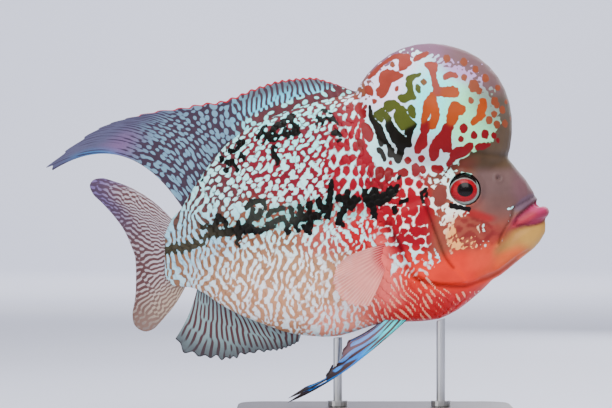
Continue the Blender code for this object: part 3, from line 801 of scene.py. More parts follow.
HUMP_PATCHES = (
    Patch(Tint.BROWN, 0, ((6.5, 210), (10.1, 212.4), (13.6, 213), (19.5, 212.4), (18.4, 209.4),
        (20.7, 207.7), (15.4, 203.5), (13.3, 203.5), (13, 206.5), (13.6, 209.4), (11.8, 210.9),
        (8.3, 209.4), (3, 205.9), (0.6, 202.3), (-3.6, 198.8), (-4.2, 200.5), (-1.8, 204.1),
        (2.4, 207.1))),
    Patch(Tint.BROWN, 1, ((21, 209.1), (22.5, 211.8), (26.7, 213.3), (29.6, 213.9), (29, 212.1),
        (25.5, 210.3), (21.9, 208.5))),
    Patch(Tint.BROWN, 0, ((2.4, 201.7), (5.9, 204.1), (10.7, 202.9), (15.4, 200.8), (14.8, 199.7),
        (11.3, 198.2), (8.3, 196.4), (7.7, 194), (5.3, 189.3), (3, 187.8), (0.9, 189.9), (0.3, 192.8),
        (3, 195.2), (2.1, 197.6))),
    Patch(Tint.BROWN, 1, ((27.2, 207.4), (30.2, 208), (34.4, 207.4), (34.1, 204.1), (32.9, 201.7),
        (33.8, 197.6), (35, 194.6), (34.7, 191.7), (32.6, 191.1), (31.4, 195.2), (31.1, 198.8),
        (30.2, 201.7), (29.6, 204.1), (27.5, 205.9))),
    Patch(Tint.BROWN, 0, ((37.3, 200), (40.9, 202.9), (45.6, 201.1), (45.3, 199.1), (42.1, 200),
        (39.1, 198.2), (37.6, 198.5))),
    Patch(Tint.BROWN, 1, ((-5.6, 194.6), (-3.9, 195.2), (-1.8, 193.4), (-1.5, 189.3), (-3.6, 189.9),
        (-5.9, 191.7))),
    Patch(Tint.BROWN, 0, ((-1.8, 186.9), (0, 187.5), (0.3, 185.7), (-1.2, 184.8))),
    Patch(Tint.BROWN, 1, ((10.7, 194), (12.1, 194.3), (12.4, 192.3), (11.3, 191.7))),
    Patch(Tint.OLIVE, 0, ((17.2, 200), (20.7, 200.8), (25.5, 201.7), (24.3, 200.2), (21.3, 199.4),
        (20.1, 197), (20.1, 193.4), (21, 189.9), (22.5, 187.2), (18.4, 186.9), (15.4, 184.8),
        (12.7, 186.9), (12.4, 189.3), (17.2, 189.9), (18.1, 192.3), (16.6, 195.2), (17.2, 197.6))),
    Patch(Tint.OLIVE, 1, ((22.2, 194.6), (23.4, 195.5), (24.6, 193.4), (24.3, 190.5), (23.1, 191.1),
        (22.2, 192.8))),
    Patch(Tint.OLIVE, 0, ((25.2, 197.6), (26.7, 197.9), (27.5, 196.4), (26.7, 195.2), (25.5, 195.8))),
    Patch(Tint.OLIVE, 1, ((4.4, 184.5), (6.5, 186.3), (9.5, 186.6), (11.5, 185.7), (13.6, 183.4),
        (16.3, 182.2), (17.2, 178.6), (19.5, 175.7), (21.9, 173.9), (20.7, 172.1), (17.2, 170.9),
        (14.2, 169.7), (12.4, 172.1), (10.7, 175.1), (9.5, 178), (11.3, 179.8), (10.7, 182.8),
        (8.3, 180.4), (6.5, 180.4), (4.7, 182.2))),
    Patch(Tint.OLIVE, 0, ((17.8, 182.8), (19.5, 184), (21.3, 182.2), (21.9, 178.6), (21.3, 176.3),
        (19.3, 177.4), (17.8, 179.8))),
    Patch(Tint.OLIVE, 1, ((-1.2, 179.8), (0.6, 180.4), (3.6, 182.8), (4.7, 180.4), (7.1, 178.6),
        (8.3, 175.7), (6.5, 173.9), (4.7, 177.4), (3.8, 177.4), (3.3, 173.9), (0.6, 176.3),
        (-0.9, 178))),
    Patch(Tint.BLACK, 0, ((-3.3, 184.5), (-2.4, 181), (-1.5, 177.4), (0.6, 174.5), (3.3, 172.1),
        (4.1, 169.1), (5.9, 164.4), (8.3, 160.9), (10.1, 158.5), (9.5, 154.9), (6.5, 154.9),
        (7.1, 159.7), (4.7, 164.4), (3.6, 160.9), (2.1, 161.4), (0.6, 166.8), (-1.2, 172.7),
        (-3.6, 176.3), (-3.7, 181))),
    Patch(Tint.BLACK, 1, ((0.6, 160.3), (3, 159.7), (4.7, 156.7), (5.6, 153.1), (4.1, 152.6), (3, 156.1),
        (0.9, 157.9))),
    Patch(Tint.BLACK, 0, ((5.3, 173.9), (7.1, 177.4), (8.9, 173.9), (11.3, 170.3), (14.2, 167.4),
        (16.6, 165), (17.8, 166.8), (15.4, 168.6), (17.2, 171.5), (21.9, 173.9), (22.5, 172.7),
        (20.1, 169.1), (19, 164.4), (19.8, 160.9), (17.8, 160.3), (15.7, 162), (14.8, 154.9),
        (12.4, 150.8), (10.1, 153.7), (9.5, 157.3), (11.8, 154.9), (12.1, 159.1), (11.3, 162),
        (8.9, 163.8), (7.7, 168), (5.9, 170.3))),
    Patch(Tint.ORANGE, 1, ((30.2, 190.5), (32.6, 191.1), (33.2, 188.1), (33.8, 184.5), (35.2, 179.8),
        (34.4, 175.1), (32.6, 170.9), (31.1, 170), (29.6, 171.5), (29.6, 175.1), (31.1, 177.4),
        (30.2, 180.4), (28.4, 176.3), (26.7, 172.7), (24.9, 174.5), (25.8, 178.6), (26.7, 185.7),
        (28.4, 187.5))),
    Patch(Tint.ORANGE, 0, ((35, 192.3), (37.3, 193.7), (43.8, 194.3), (46.2, 191.7), (45.6, 188.7),
        (42.1, 188.4), (35.5, 188.7))),
    Patch(Tint.ORANGE, 1, ((42.1, 185.7), (45, 185.7), (47.4, 183.4), (49.5, 183.4), (49.2, 179.8),
        (46.8, 178.3), (45.6, 178), (44.4, 173.9), (40.9, 172.1), (39.1, 174.5), (39.7, 178.6),
        (40.9, 182.8))),
    Patch(Tint.RED, 0, ((26.7, 172.7), (28.4, 170.9), (27.8, 168), (27.8, 164.4), (28.4, 160.9),
        (25.5, 159.7), (23.7, 156.7), (21.9, 157), (21.3, 160.3), (22.5, 163.2), (24.9, 168))),
    Patch(Tint.RED, 1, ((37.9, 173.9), (40.9, 172.1), (43.2, 172.1), (41.5, 169.1), (41.2, 164.4),
        (42.1, 157.9), (39.1, 157.6), (36.7, 158.5), (36.1, 162), (34.7, 159.7), (34.7, 156.1),
        (33.2, 153.1), (30.8, 152.9), (29.6, 156.1), (29.6, 160.3), (32.6, 165.6), (36.1, 168.6))),
    Patch(Tint.RED, 0, ((39.1, 151.4), (40.9, 154.3), (41.5, 157.3), (44.4, 160.3), (48, 160.3),
        (51.5, 162.9), (53.9, 162.6), (53.9, 160.3), (51.5, 157.3), (49.2, 155.5), (44.4, 154.3),
        (40.9, 150.2), (39.4, 149.9))),
    Patch(Tint.RED, 1, ((54.8, 160.9), (57.5, 162.6), (63.4, 162.6), (63.7, 162), (59.8, 159.4),
        (55.7, 159.1))),
    Patch(Tint.RED, 0, ((16, 153.7), (17.8, 155.2), (19.5, 153.4), (18.4, 151.4), (16.3, 152))),
    Patch(Tint.RED, 1, ((23.7, 154.9), (25.5, 156.1), (27, 154.3), (25.5, 152), (23.4, 153.1))),
    Patch(Tint.RED, 0, ((20.1, 150.8), (21.9, 151.4), (23.7, 150.2), (24.3, 146), (21.9, 144.3),
        (20.1, 146))),
    Patch(Tint.RED, 1, ((24.3, 149.9), (26.7, 150.2), (27.5, 147.2), (26.1, 145.7), (24.3, 147.2))),
    Patch(Tint.RED, 0, ((31.1, 150.2), (36.7, 150.2), (37.3, 147.8), (35.5, 146), (32, 146.6),
        (30.8, 148.4))),
    Patch(Tint.ORANGE, 0, ((58.1, 187.8), (61.3, 187.4), (61.7, 182.7), (60.1, 179.5), (60.9, 177.9),
        (58.1, 175.6), (53.8, 172.4), (52.6, 174), (53.8, 176.4), (56.5, 177.9), (56.5, 182.7),
        (58.1, 185))),
    Patch(Tint.RED, 0, ((25.2, 174.5), (29.8, 175), (29.4, 169.5), (27.6, 167), (24.6, 168))),
    Patch(Tint.BROWN, 0, ((32, 193.5), (36.8, 194), (36.8, 189), (31.6, 189))),
    Patch(Tint.RED, 1, ((-8, 173.9), (-4.7, 173.9), (-1.5, 169.1), (-1.8, 165), (-3.6, 163.2),
        (-6.5, 166.2), (-7.7, 169.1))),
    Patch(Tint.RED, 0, ((12.1, 147.2), (14.2, 148.4), (17.2, 148.1), (17.8, 144.3), (14.8, 144.3),
        (12.1, 144.9))),
    Patch(Tint.RED, 1, ((0, 149), (3, 149.6), (4.7, 147.2), (3.6, 143.1), (0.6, 142.5), (-0.3, 145.4))),
    Patch(Tint.RED, 0, ((5.3, 149), (8.9, 149), (9.5, 144.9), (6.5, 140.7), (5, 142.5))),
    Patch(Tint.RED, 1, ((-9.5, 180.4), (-7.1, 181.6), (-5.3, 180.4), (-5.9, 176.8), (-8.3, 176.8))),
    Patch(Tint.RED, 0, ((-10.7, 164.4), (-8.3, 165), (-6.5, 162), (-7.1, 158.5), (-10.1, 159.7))),
)

HUMP_SPOTS = (
    (54.5, 194.6, 3), (52.8, 186.4, 1.4), (66, 179, 1.5), (57.5, 192, 1.6), (48.6, 170.9, 2.1),
    (47.1, 165, 1.3), (54.5, 167.1, 1.7), (60.7, 167.7, 2), (66.3, 186.3, 1.9), (67.5, 184.3, 1.5),
    (70.8, 181.6, 1.6), (63.1, 175.7, 1.8), (67.5, 173.3, 1.7), (72.3, 173.9, 1.5), (61.3, 199.1, 1.8),
    (68.4, 194, 1.3), (73.5, 186.3, 0.8), (76.4, 176.8, 0.8), (65.8, 167.1, 1.3), (68.1, 164.4, 0.8),
    (9.5, 206.8, 1.1), (26.7, 196.7, 1.3), (39.7, 210, 1.8), (49.2, 199.4, 1.5), (49.2, 208.2, 1.8),
    (55.7, 204.1, 1.5), (-2.7, 140.4, 0.8), (8, 151.7, 0.8), (3, 138.9, 1.1),
)

BAND_STROKES = (
    (8, 136.6, 6.2, 132.1, 1.8), (11.6, 138.4, 9.3, 133.9, 1.1), (-1, 135.7, -1.5, 130.3, 2.2),
    (-1.5, 130.3, 2.6, 130.3, 2.2), (-1.5, 128.5, -1, 122.2, 1.3), (-6.4, 135.7, -5.5, 131.2, 1.5),
    (-5.5, 131.2, -3.7, 128.5, 1.6), (-10, 131.2, -15.4, 127.6, 1.4), (-12.2, 132.1, -13.6, 126.7, 1.3),
    (-15.8, 135.7, -16.3, 131.2, 1.3), (-16.3, 131.2, -20.8, 132.1, 1.8),
    (-19.9, 123.1, -20.8, 118.6, 1.6), (-20.3, 118.6, -18.5, 117.3, 0.9),
    (-16.7, 128.5, -19.9, 122.2, 1.5), (-24.8, 141.1, -25.2, 135.7, 1.1),
    (-25.2, 135.7, -25.7, 130.3, 1.5), (-26.1, 130.3, -27, 122.2, 1.8), (-32, 131.2, -31.5, 128.5, 1.5),
    (-31.5, 128.5, -27.9, 124.9, 1.8), (-36.9, 128.5, -37.1, 127.2, 1.7),
    (-36.9, 126.7, -36.5, 122.2, 1.1), (-40.5, 121.3, -32.4, 122.2, 2.2), (-36, 121.3, -37.8, 114.1, 1.8),
    (-40.5, 116.8, -36.9, 112.8, 1.1), (-42.3, 127.2, -41.8, 125.4, 1.5), (-41.8, 124.9, -43.6, 121.3, 1),
    (-45.9, 119.5, -40.5, 121.3, 2), (-45.4, 118.6, -43.2, 114.1, 1), (-47.2, 126.3, -46.8, 124.5, 1.3),
    (-46.8, 124, -45.9, 122.2, 0.7), (-49.5, 115, -48.6, 113.2, 1.3), (-52.2, 121.3, -48.6, 116.8, 0.9),
    (-71.9, 126.7, -69.2, 130.3, 1.1), (-69.2, 130.3, -62.5, 130.3, 1.3), (-62, 130.3, -61.6, 126.7, 0.9),
    (-68.3, 125.8, -69.2, 120.4, 1.3), (-69.2, 121.3, -71.9, 116.8, 1.4),
    (-63.8, 124.9, -65.6, 121.3, 1.4), (-60.2, 122.2, -58.5, 124.9, 1.1),
    (-58.5, 124.9, -51.3, 126.7, 1.1), (-60.2, 117.7, -51.3, 121.3, 1.3),
    (-76.4, 118.6, -76.4, 109.6, 1.3), (-80, 114.1, -63.8, 114.1, 1.6), (-76.4, 115, -69.2, 115.9, 1.8),
    (-63.8, 114.1, -56.7, 116.8, 1.1), (-88.1, 122.2, -83.6, 118.6, 1.3), (-88.1, 121.3, -90.8, 115, 1.4),
    (-95.3, 115.9, -89, 112.3, 1.6), (-89, 112.3, -80, 113.2, 1.6), (-83.6, 117.7, -82.7, 112.3, 1.1),
    (-89, 114.1, -99.7, 107.9, 1.8), (-99.7, 107, -108.7, 104.3, 2), (-108.7, 104.3, -119.5, 103.4, 2.2),
    (-97.1, 109.6, -95.3, 106.1, 1.1), (-78.2, 107.9, -75.5, 104.7, 0.4),
)

BACK_BLOTCHES = (
    Stroke(-29, 179.5, -31.5, 175, 2.2), Stroke(-26, 178.5, -22.5, 172.5, 1.4),
    Stroke(-22.5, 168, -21, 166, 2), Stroke(-47, 177, -44.5, 169, 2.3),
    Stroke(-52, 173.5, -57.5, 167, 3.1), Stroke(-61, 170.5, -64, 165.5, 2.5),
    Stroke(-49.5, 168, -50.5, 170.5, 2.2), Stroke(-56.5, 160, -55.5, 152.5, 1.6),
    Stroke(-75, 163.5, -80, 159, 1.6), Stroke(-80.5, 159, -81, 152, 1.5), Stroke(-81, 152, -78, 148, 1.3),
    Stroke(-74, 157, -75, 153.5, 1.4), Stroke(-86.5, 157, -83.5, 148, 1.2),
    Stroke(-97, 147.5, -98, 143, 1),
)

HEAD_BLOTCHES = (
    Stroke(27.5, 137.5, 25, 134.5, 1.2), Stroke(25, 134.5, 26, 130, 1.1), Stroke(28, 135, 28, 133.5, 1),
    Stroke(41.5, 128, 46.5, 127, 1.6), Stroke(46.5, 127, 51.5, 126, 1.4),
    Stroke(-1.5, 131.5, 4, 132, 2.9), Stroke(4, 133, 9, 135.5, 2.5), Stroke(10, 127, 10.5, 124.5, 1.6),
    Stroke(13.5, 130, 17, 131, 1.5), Stroke(12, 143, 13.5, 144.5, 1),
)

EYE_SPOT = (49.3, 137.2)
BAND = ((-120, 103.4), (-100, 108), (-76, 115), (-60, 120), (-42, 122.5),
        (-24, 127.5), (0, 132), (14, 136), (30, 138), (64, 140))
MINT_ZONE = ((-6, 160), (-7, 180), (-6, 196), (0, 204), (10, 211), (24, 214), (34, 210), (46, 206.5),
             (54, 203), (62, 195), (65, 187), (70, 181), (68.5, 172), (66, 165), (62, 161.5),
             (54, 158.5), (40, 148.5), (28, 144.5), (16, 147.5), (4, 146))


def band_level(x: float) -> float:
    """Return the height of the dark band's middle at one x."""
    return float(through(BAND, np.array([x]))[0])


@dataclass
class Coat:
    """The fish's markings, the same on its skin and on its scales."""

    pearls: Pearls = Pearls(4.5, 3.5, 19)
    worms: Ripple = Ripple(3.2, 4, 34, 11)
    net: Pearls = Pearls(4.6, 7, 37, 0.09)
    veins: Pearls = Pearls(5.2, 5.2, 43, 0.12)
    dashes: Ripple = Ripple(2.9, 36, 20, 51)
    frayed: Ripple = Ripple(2.8, 0, 90, 71)
    drift: Ripple = Ripple(17, 0, 90, 83)
    wobble: Ripple = Ripple(6, 0, 90, 89)
    flank: FlankMap | None = None
    swell: float = 0.5
    left_turn: int = 500
    seam: float = 2.5
    ground: tuple = (
        (Wash(-108, 112, 22, 40), srgb(108, 88, 74), 0.9),
        (Wash(-98, 96, 24, 16, 0, 0.5), srgb(172, 132, 104), 0.8),
        (Wash(-42, 78, 66, 27, 4, 0.4), srgb(192, 160, 134), 1),
        (Wash(-36, 70, 50, 16, 0, 0.6), srgb(206, 172, 148), 0.7),
        (Wash(-74, 158, 56, 26, 32, 0.35), srgb(112, 64, 70), 1),
        (Wash(-34, 154, 44, 30, 8, 0.4), srgb(150, 28, 46), 1),
        (Wash(-36, 178, 40, 11, -4, 0.4), srgb(128, 52, 62), 0.8),
        (Wash(0, 150, 30, 36, 0, 0.35), srgb(174, 14, 34), 1),
        (Wash(-20, 112, 22, 12, 10, 0.4), srgb(200, 100, 94), 0.8),
        (Wash(0, 110, 20, 12, 0, 0.4), srgb(214, 40, 46), 0.95),
        (Wash(-10, 60, 26, 12, -8, 0.4), srgb(226, 180, 166), 0.9),
        (Wash(30, 72, 36, 18, 4, 0.3), srgb(222, 80, 70), 1),
        (Wash(6, 91, 11, 19, 0, 0.5), srgb(228, 150, 140), 0.9),
        (Wash(19, 120, 17, 23, 0, 0.3), srgb(184, 20, 32), 1),
        (Wash(24, 92, 14, 10, 0, 0.5), srgb(236, 70, 58), 0.8),
        (Wash(58, 114, 26, 24, 0, 0.3), srgb(178, 98, 78), 1),
        (Wash(50, 92, 34, 11, 6, 0.4), srgb(236, 104, 78), 1),
        (Wash(66, 102, 14, 8, 20, 0.5), srgb(228, 118, 88), 0.8),
        (Wash(74, 141, 24, 17.5, 0, 0.3), srgb(122, 98, 96), 1),
        (Wash(86, 137, 10, 12, 0, 0.5), srgb(134, 100, 110), 0.7),
        (Wash(68, 126, 12, 8, 0, 0.5), srgb(130, 98, 92), 0.7),
        (Wash(58, 123, 9, 2.6, -12, 0.5), srgb(186, 44, 40), 0.8),
        (Wash(64, 113, 9, 5, -20, 0.5), srgb(166, 60, 54), 0.6),
        # Painted shadow: a dark olive-brown wash under the overhang of the hump.
        (Wash(64, 157, 24, 9, 8, 0.35), srgb(92, 70, 50), 1),
        (Wash(42, 147, 14, 5, 26, 0.5), srgb(112, 50, 36), 0.9),
        (Wash(35.5, 134, 4.4, 7, 0, 0.25), srgb(146, 72, 62), 1),
        (Wash(38, 206, 48, 18, -6, 0.3), srgb(150, 122, 146), 1),
        (Wash(72, 182, 12, 27, 16, 0.3), srgb(110, 100, 90), 1),
        (Wash(72, 164, 12, 12, 0, 0.4), srgb(108, 88, 70), 0.8),
        (Wash(58, 205, 22, 12, -32, 0.4), srgb(136, 110, 114), 0.9),
        (Wash(82, 107, 18, 9, 34, 0.3), srgb(190, 152, 104), 1),
        (Wash(90, 112, 9, 7, 30, 0.5), srgb(198, 168, 118), 0.8),
        (Wash(72, 96, 14, 6, 32, 0.5), srgb(226, 122, 84), 0.8),
        (Wash(87, 98, 10, 3, 40, 0.35), srgb(236, 74, 44), 0.9),
        (Wash(88, 122.6, 13.5, 5.4, 24, 0.18), srgb(178, 74, 102), 1),
        (Wash(93, 127, 7, 2.6, 12, 0.4), srgb(206, 100, 142), 0.7),
        (Wash(82, 119.5, 9, 2.4, 30, 0.4), srgb(196, 80, 88), 0.8),
        (Wash(85, 130.8, 9, 2.8, 30, 0.25), srgb(126, 106, 122), 1),
    )
    mark_tints: tuple = (
        (Wash(-100, 108, 26, 30, 0, 0.5), srgb(182, 204, 210), 1),
        (Wash(-78, 150, 36, 20, 34, 0.5), srgb(210, 226, 235), 1),
        (Wash(-36, 170, 46, 18, 4, 0.5), srgb(214, 228, 241), 1),
        (Wash(-6, 158, 22, 30, 0, 0.5), srgb(216, 229, 238), 1),
        (Wash(-40, 78, 60, 26, 0, 0.5), srgb(214, 220, 214), 1),
        (Wash(10, 196, 28, 19, 0, 0.5), srgb(215, 218, 240), 1),
        (Wash(34, 182, 16, 26, 0, 0.5), srgb(219, 234, 226), 1),
        (Wash(56, 172, 18, 28, 0, 0.5), srgb(185, 211, 192), 1),
        (Wash(66, 190, 13, 20, 20, 0.6), srgb(150, 166, 158), 1),
        (Wash(24, 158, 22, 10, 0, 0.5), srgb(188, 196, 198), 1),
        (Wash(50, 206, 18, 9, -20, 0.5), srgb(188, 176, 200), 1),
        (Wash(-28, 125.5, 58, 8, 10, 0.4), srgb(172, 202, 200), 1),
        (Wash(30, 72, 34, 20, 0, 0.4), srgb(242, 194, 180), 1),
        (Wash(26, 124, 26, 20, 0, 0.4), srgb(224, 227, 214), 1),
        (Wash(48, 110, 12, 12, 0, 0.4), srgb(222, 186, 152), 1),
    )
    ink_tints: tuple = ((Wash(-58, 124, 16, 9, 0, 0.4), srgb(54, 60, 54), 1),
                        (Wash(-108, 105, 26, 12, 0, 0.6), srgb(74, 68, 50), 1))
    cheek: Wash = Wash(53, 114, 15, 9, -6, 0.3)
    cheek_flecks: tuple = ((Wash(43.5, 125.5, 8, 3.4, -16, 0.4), 0.35, 1),
                           (Wash(40.5, 117.5, 4, 7, 20, 0.5), -0.3, 1.1),
                           (Wash(52, 107.5, 13, 5, -6, 0.5), -0.7, 0.9),
                           (Wash(58.5, 115.5, 3.5, 3, 0, 0.5), -0.1, 0.9))
    pale_lines: tuple = (
        Crease(((69.5, 124.2), (73.5, 126.2), (77.5, 127.6)), 0.8, 0),
        Crease(((75.3, 123.5), (73.8, 118.8), (71.6, 113.2), (70.2, 108.2)), 0.6, 0),
    )
    plain: tuple = (
        # The second wash keeps the pearl marks off the painted shadow under the hump.
        Wash(77, 140, 25, 17, 0, 0.15), Wash(66, 154, 24, 7.5, 8, 0.15),
        Wash(68, 116, 24, 18, 0, 0.25), Wash(62, 94, 32, 13, 10, 0.25),
        Wash(88, 110, 20, 24, 0, 0.2), Wash(34.5, 110, 3.4, 20, 20, 0.3),
        Wash(3, 92, 5, 16, 0, 0.5), Wash(35.5, 134, 3.6, 6, 0, 0.25),
    )

    def layers(self, points: Array) -> dict[str, Array]:
        """Paint a set of places.

        Args:
            points: Places in millimetres, one row each.

        Returns:
            Every layer of the finish by attribute name.
        """
        x0, z0 = points[:, 0], points[:, 2]
        right = ease((self.seam - points[:, 1]) / (2.0 * self.seam))
        bend = (1.0 - right) * 2.5
        drift_x = 1.1 * self.drift.at(x0, z0) + bend * np.sin(z0 / 8.0)
        drift_z = 1.1 * self.drift.at(x0, z0, 7) + bend * np.sin(x0 / 9.0)
        ground = self.paint_ground(x0 + 0.6 * drift_x, z0 + 0.6 * drift_z)
        mark, mark_tint = self.paint_marks(x0, z0, drift_x, drift_z, right)
        still_x, still_z = x0 + bend * np.sin(z0 / 8.0), z0 + bend * np.sin(x0 / 9.0)
        patches, patch_tint = self.paint_patches(still_x, still_z, right)
        mark = self.mint_zone(mark, x0, z0, still_x, still_z, right)
        ink, ink_tint = self.paint_ink(still_x, still_z, right, mark)
        # Painted shade: the ground is darkened along the creases of the head.
        ground = ground * self.paint_fold_shade(x0, z0)[:, None]
        middle = 1.0 - ease((np.abs(points[:, 1]) - 2.0) / 5.0)
        patches = [inside - 6.0 * middle for inside in patches]
        mark = mark - 5.0 * middle * ease((100.0 - z0) / 8.0) * ease(x0 / 10.0)
        return {"ground": ground, "mark": mark, "mark_tint": mark_tint, "patch": patches[0],
                "patch_too": patches[1], "patch_tint": patch_tint, "ink": ink,
                "ink_tint": ink_tint}

    def pair(self, ripple: Ripple, x: Array, z: Array, right: Array) -> Array:
        """Read a ripple that differs between the flanks and blends along the middle.

        Args:
            ripple: The pattern.
            x: Places along the fish.
            z: Places up the fish.
            right: How much each place belongs to the right flank.

        Returns:
            The pattern at each place.
        """
        left = 1.0 - right
        total = ripple.at(x, z) * right + ripple.at(x, z, self.left_turn) * left
        return total / np.sqrt(right * right + left * left)

    def paint_ground(self, x: Array, z: Array) -> Array:
        """Paint the colour that lies under all the marks, with a painted shadow under the hump.

        Args:
            x: Places along the fish.
            z: Places up the fish.

        Returns:
            The colour at each place.
        """
        colour = lay(srgb(160, 108, 80), self.ground, x, z)
        cheek = 0.75 * self.cheek.weight(x, z) * ease(0.4 + 0.7 * self.wobble.at(x, 1.3 * z))
        return mingle(colour, srgb(150, 44, 42), cheek)

    def paint_marks(self, x: Array, z: Array, drift_x: Array, drift_z: Array,
                    right: Array) -> tuple[Array, Array]:
        """Paint the pearl marks.

        Args:
            x: Places along the fish.
            z: Places up the fish.
            drift_x: How far the pattern wanders along the fish.
            drift_z: How far the pattern wanders up the fish.
            right: How much each place belongs to the right flank.

        Returns:
            The marks' field and their colour.
        """
        arc = self.flank.read(x, z)
        fuzz = self.pair(self.frayed, x, z, right)
        wide = self.pair(self.wobble, x, z, right)
        belly = Wash(-40, 82, 74, 32, 4, 0.3).weight(x, z)
        tail = Wash(-112, 106, 22, 40, 0, 0.4).weight(x, z)
        shoulder = Wash(-3, 156, 24, 34, 0, 0.35).weight(x, z)
        cover = Wash(18, 120, 18, 24, 0, 0.35).weight(x, z)
        breast = Wash(30, 72, 36, 18, 4, 0.3).weight(x, z)
        flanking = Wash(-6, 112, 22, 15, 8, 0.4).weight(x, z)
        long = 1.6 - 0.3 * belly - 0.35 * flanking + 0.14 * wide
        high = 1.75 + 0.65 * belly + 0.8 * flanking + 0.18 * wide
        lean = 0.2 * belly + 0.35 * flanking + 0.2 * wide
        warp_x, warp_arc = x + 0.35 * fuzz + 0.3 * drift_x, arc + 0.35 * wide
        first = self.pearls.at(warp_x, warp_arc, long, high, lean)
        second = self.pearls.at(warp_x, warp_arc, long, high, lean, 9)
        pearls = np.where(right > 0.5, first, second) + 0.14 * fuzz - 0.14
        worms = 0.8 * self.pair(self.worms, x + drift_x, z + drift_z, right) + 0.12
        calm_x = x + 0.12 * fuzz + 0.45 * drift_x
        calm_z = z + 0.35 * wide + 0.45 * drift_z
        net = 0.1 - self.net.at(calm_x, calm_z, 2.0 + 0.1 * wide, 3.7 + 0.2 * fuzz, -0.12)
        veins = 0.1 - self.veins.at(calm_x, calm_z, 2.35 + 0.15 * wide, 2.7 + 0.2 * fuzz, 0.2)
        pearls = pearls * (1.0 - 0.4 * belly) + belly * (0.45 * worms - 0.14)
        dashes = 0.8 * self.pair(self.dashes, x + 0.5 * drift_x, z, right) - 0.5
        to_net = shoulder * (1.0 - cover)
        parts = ((pearls, np.clip(1.0 - tail - to_net - cover - breast, 0.0, 1.0) + 1e-3),
                 (worms, tail), (net, to_net), (veins, cover), (dashes, breast * (1.0 - cover)))
        result = sum(value * weight for value, weight in parts)
        result = result / sum(weight for _, weight in parts)
        bare = np.zeros(len(x))
        for wash in self.plain:
            bare = np.maximum(bare, wash.weight(x, z))
        result = np.minimum(result, (0.5 - bare) * 4.0)
        for wash, level, rough in self.cheek_flecks:
            share = wash.weight(x, z)
            result = np.maximum(result, share * (level + 1.6 + rough * fuzz) - 1.6)
        for line in self.pale_lines:
            result = np.maximum(result, line.near(x, z) * (0.9 + 0.7 * fuzz + 0.5 * wide) - 1.1)
        away = np.hypot(x - EYE_SPOT[0], z - EYE_SPOT[1])
        hidden = ease((z - 143.0) / 4.0) + ease((x - 48.0) / 6.0)
        result = np.maximum(result, 0.9 - 1.5 * np.abs(away - 9.3) - 4.0 * hidden + 0.2 * fuzz)
        return result, lay(srgb(211, 227, 224), self.mark_tints, x, z)

    def mint_zone(self, mark: Array, x: Array, z: Array, still_x: Array,
                  still_z: Array, right: Array) -> Array:
        """Fill the hump's side with mint, with an edge that breaks up into flecks.

        Args:
            mark: The marks' field so far.
            x: Places along the fish.
            z: Places up the fish.
            still_x: The same without the patterns' drift.
            still_z: The same without the patterns' drift.
            right: How much each place belongs to the right flank.

        Returns:
            The marks' field with the mint side.
        """
        fuzz = self.pair(self.frayed, x, z, right) + 0.8 * self.pair(self.wobble, x, z, right)
        inside = Patch(Tint.BLACK, 0, MINT_ZONE).field(still_x, still_z)
        upper = ease((z - 170.0) / 24.0)
        inside = inside + (0.5 + 1.6 * upper) * fuzz
        head = x > -7.0 + 5.0 * ease((168.0 - z) / 10.0)
        crown = ease((x + 9.0) / 4.0) * ease((z - 148.0) / 8.0)
        mark = mark * (1.0 - crown) + np.minimum(0.6 * inside, 1.5) * crown
        return np.where(head & (inside > -3.0), np.maximum(mark * (inside < 0.5), 0.6 * inside), mark)

    def paint_patches(self, x: Array, z: Array,
                      right: Array) -> tuple[list[Array], Array]:
        """Paint the coloured patches on the hump.

        Args:
            x: Places along the fish.
            z: Places up the fish.
            right: How much each place belongs to the right flank.

        Returns:
            The fields of both layers of patches, and their colour.
        """
        fray = 0.16 * self.pair(self.frayed, x, z, right)
        fields = [np.full(len(x), OUTSIDE), np.full(len(x), OUTSIDE)]
        tint = np.zeros((len(x), 3))
        weight = np.zeros(len(x))
        marks = [(patch.field(x, z), patch.tint, patch.layer) for patch in HUMP_PATCHES]
        for k, (px, pz, radius) in enumerate(HUMP_SPOTS):
            spot = Tint.SPOT if pz > 172.0 else Tint.RED
            marks.append((radius - np.hypot((x - px) * 1.1, (z - pz) * 0.92), spot, k % 2))
        for inside, colour, layer in marks:
            fields[layer] = np.maximum(fields[layer], inside + self.swell)
            share = np.exp(np.clip(inside, -12.0, 3.0) * 1.8) * (inside > OUTSIDE + 0.1)
            tint += share[:, None] * np.array(colour.value)
            weight += share
        return [1.3 * (f + fray) for f in fields], tint / np.maximum(weight, 1e-12)[:, None]

    def paint_ink(self, x: Array, z: Array, right: Array,
                  mark: Array) -> tuple[Array, Array]:
        """Paint the black band along the side and the black blotches.

        Args:
            x: Places along the fish.
            z: Places up the fish.
            right: How much each place belongs to the right flank.
            mark: The pearl marks' field, which notches the black.

        Returns:
            The field of the black and its colour.
        """
        fray = self.pair(self.frayed, x, z, right)
        band, head, back = [np.full(len(x), 1.5 * OUTSIDE) for _ in range(3)]
        for x1, z1, x2, z2, radius in BAND_STROKES:
            wider = 1.0 + 0.35 * float(ease(np.array((-84.0 - x1) / 14.0)))
            band = np.maximum(band, Stroke(x1, z1, x2, z2, radius * wider + 0.4).field(x, z))
        for stroke in HEAD_BLOTCHES:
            head = np.maximum(head, stroke.field(x, z))
        for stroke in BACK_BLOTCHES:
            back = np.maximum(back, stroke.field(x, z))
        light = np.clip(mark, -0.4, 1.4)
        band = band + 0.3 * fray - (0.42 + 1.1 * ease((-84.0 - x) / 14.0)) * light
        wide = self.pair(self.wobble, x, z, right)
        back = np.minimum(1.2 * back + 0.8, 0.5 + 1.1 * wide - 0.8 * light) + 0.2 * fray
        mottle = ease((-86.0 - x) / 14.0) * self.pair(self.wobble, x, z, right)
        band = band + 1.1 * np.minimum(mottle, 0.0)
        tint = lay(srgb(12, 10, 8), self.ink_tints, x, z)
        return np.maximum.reduce([band, head + 0.25 * fray - 0.1, back]), tint

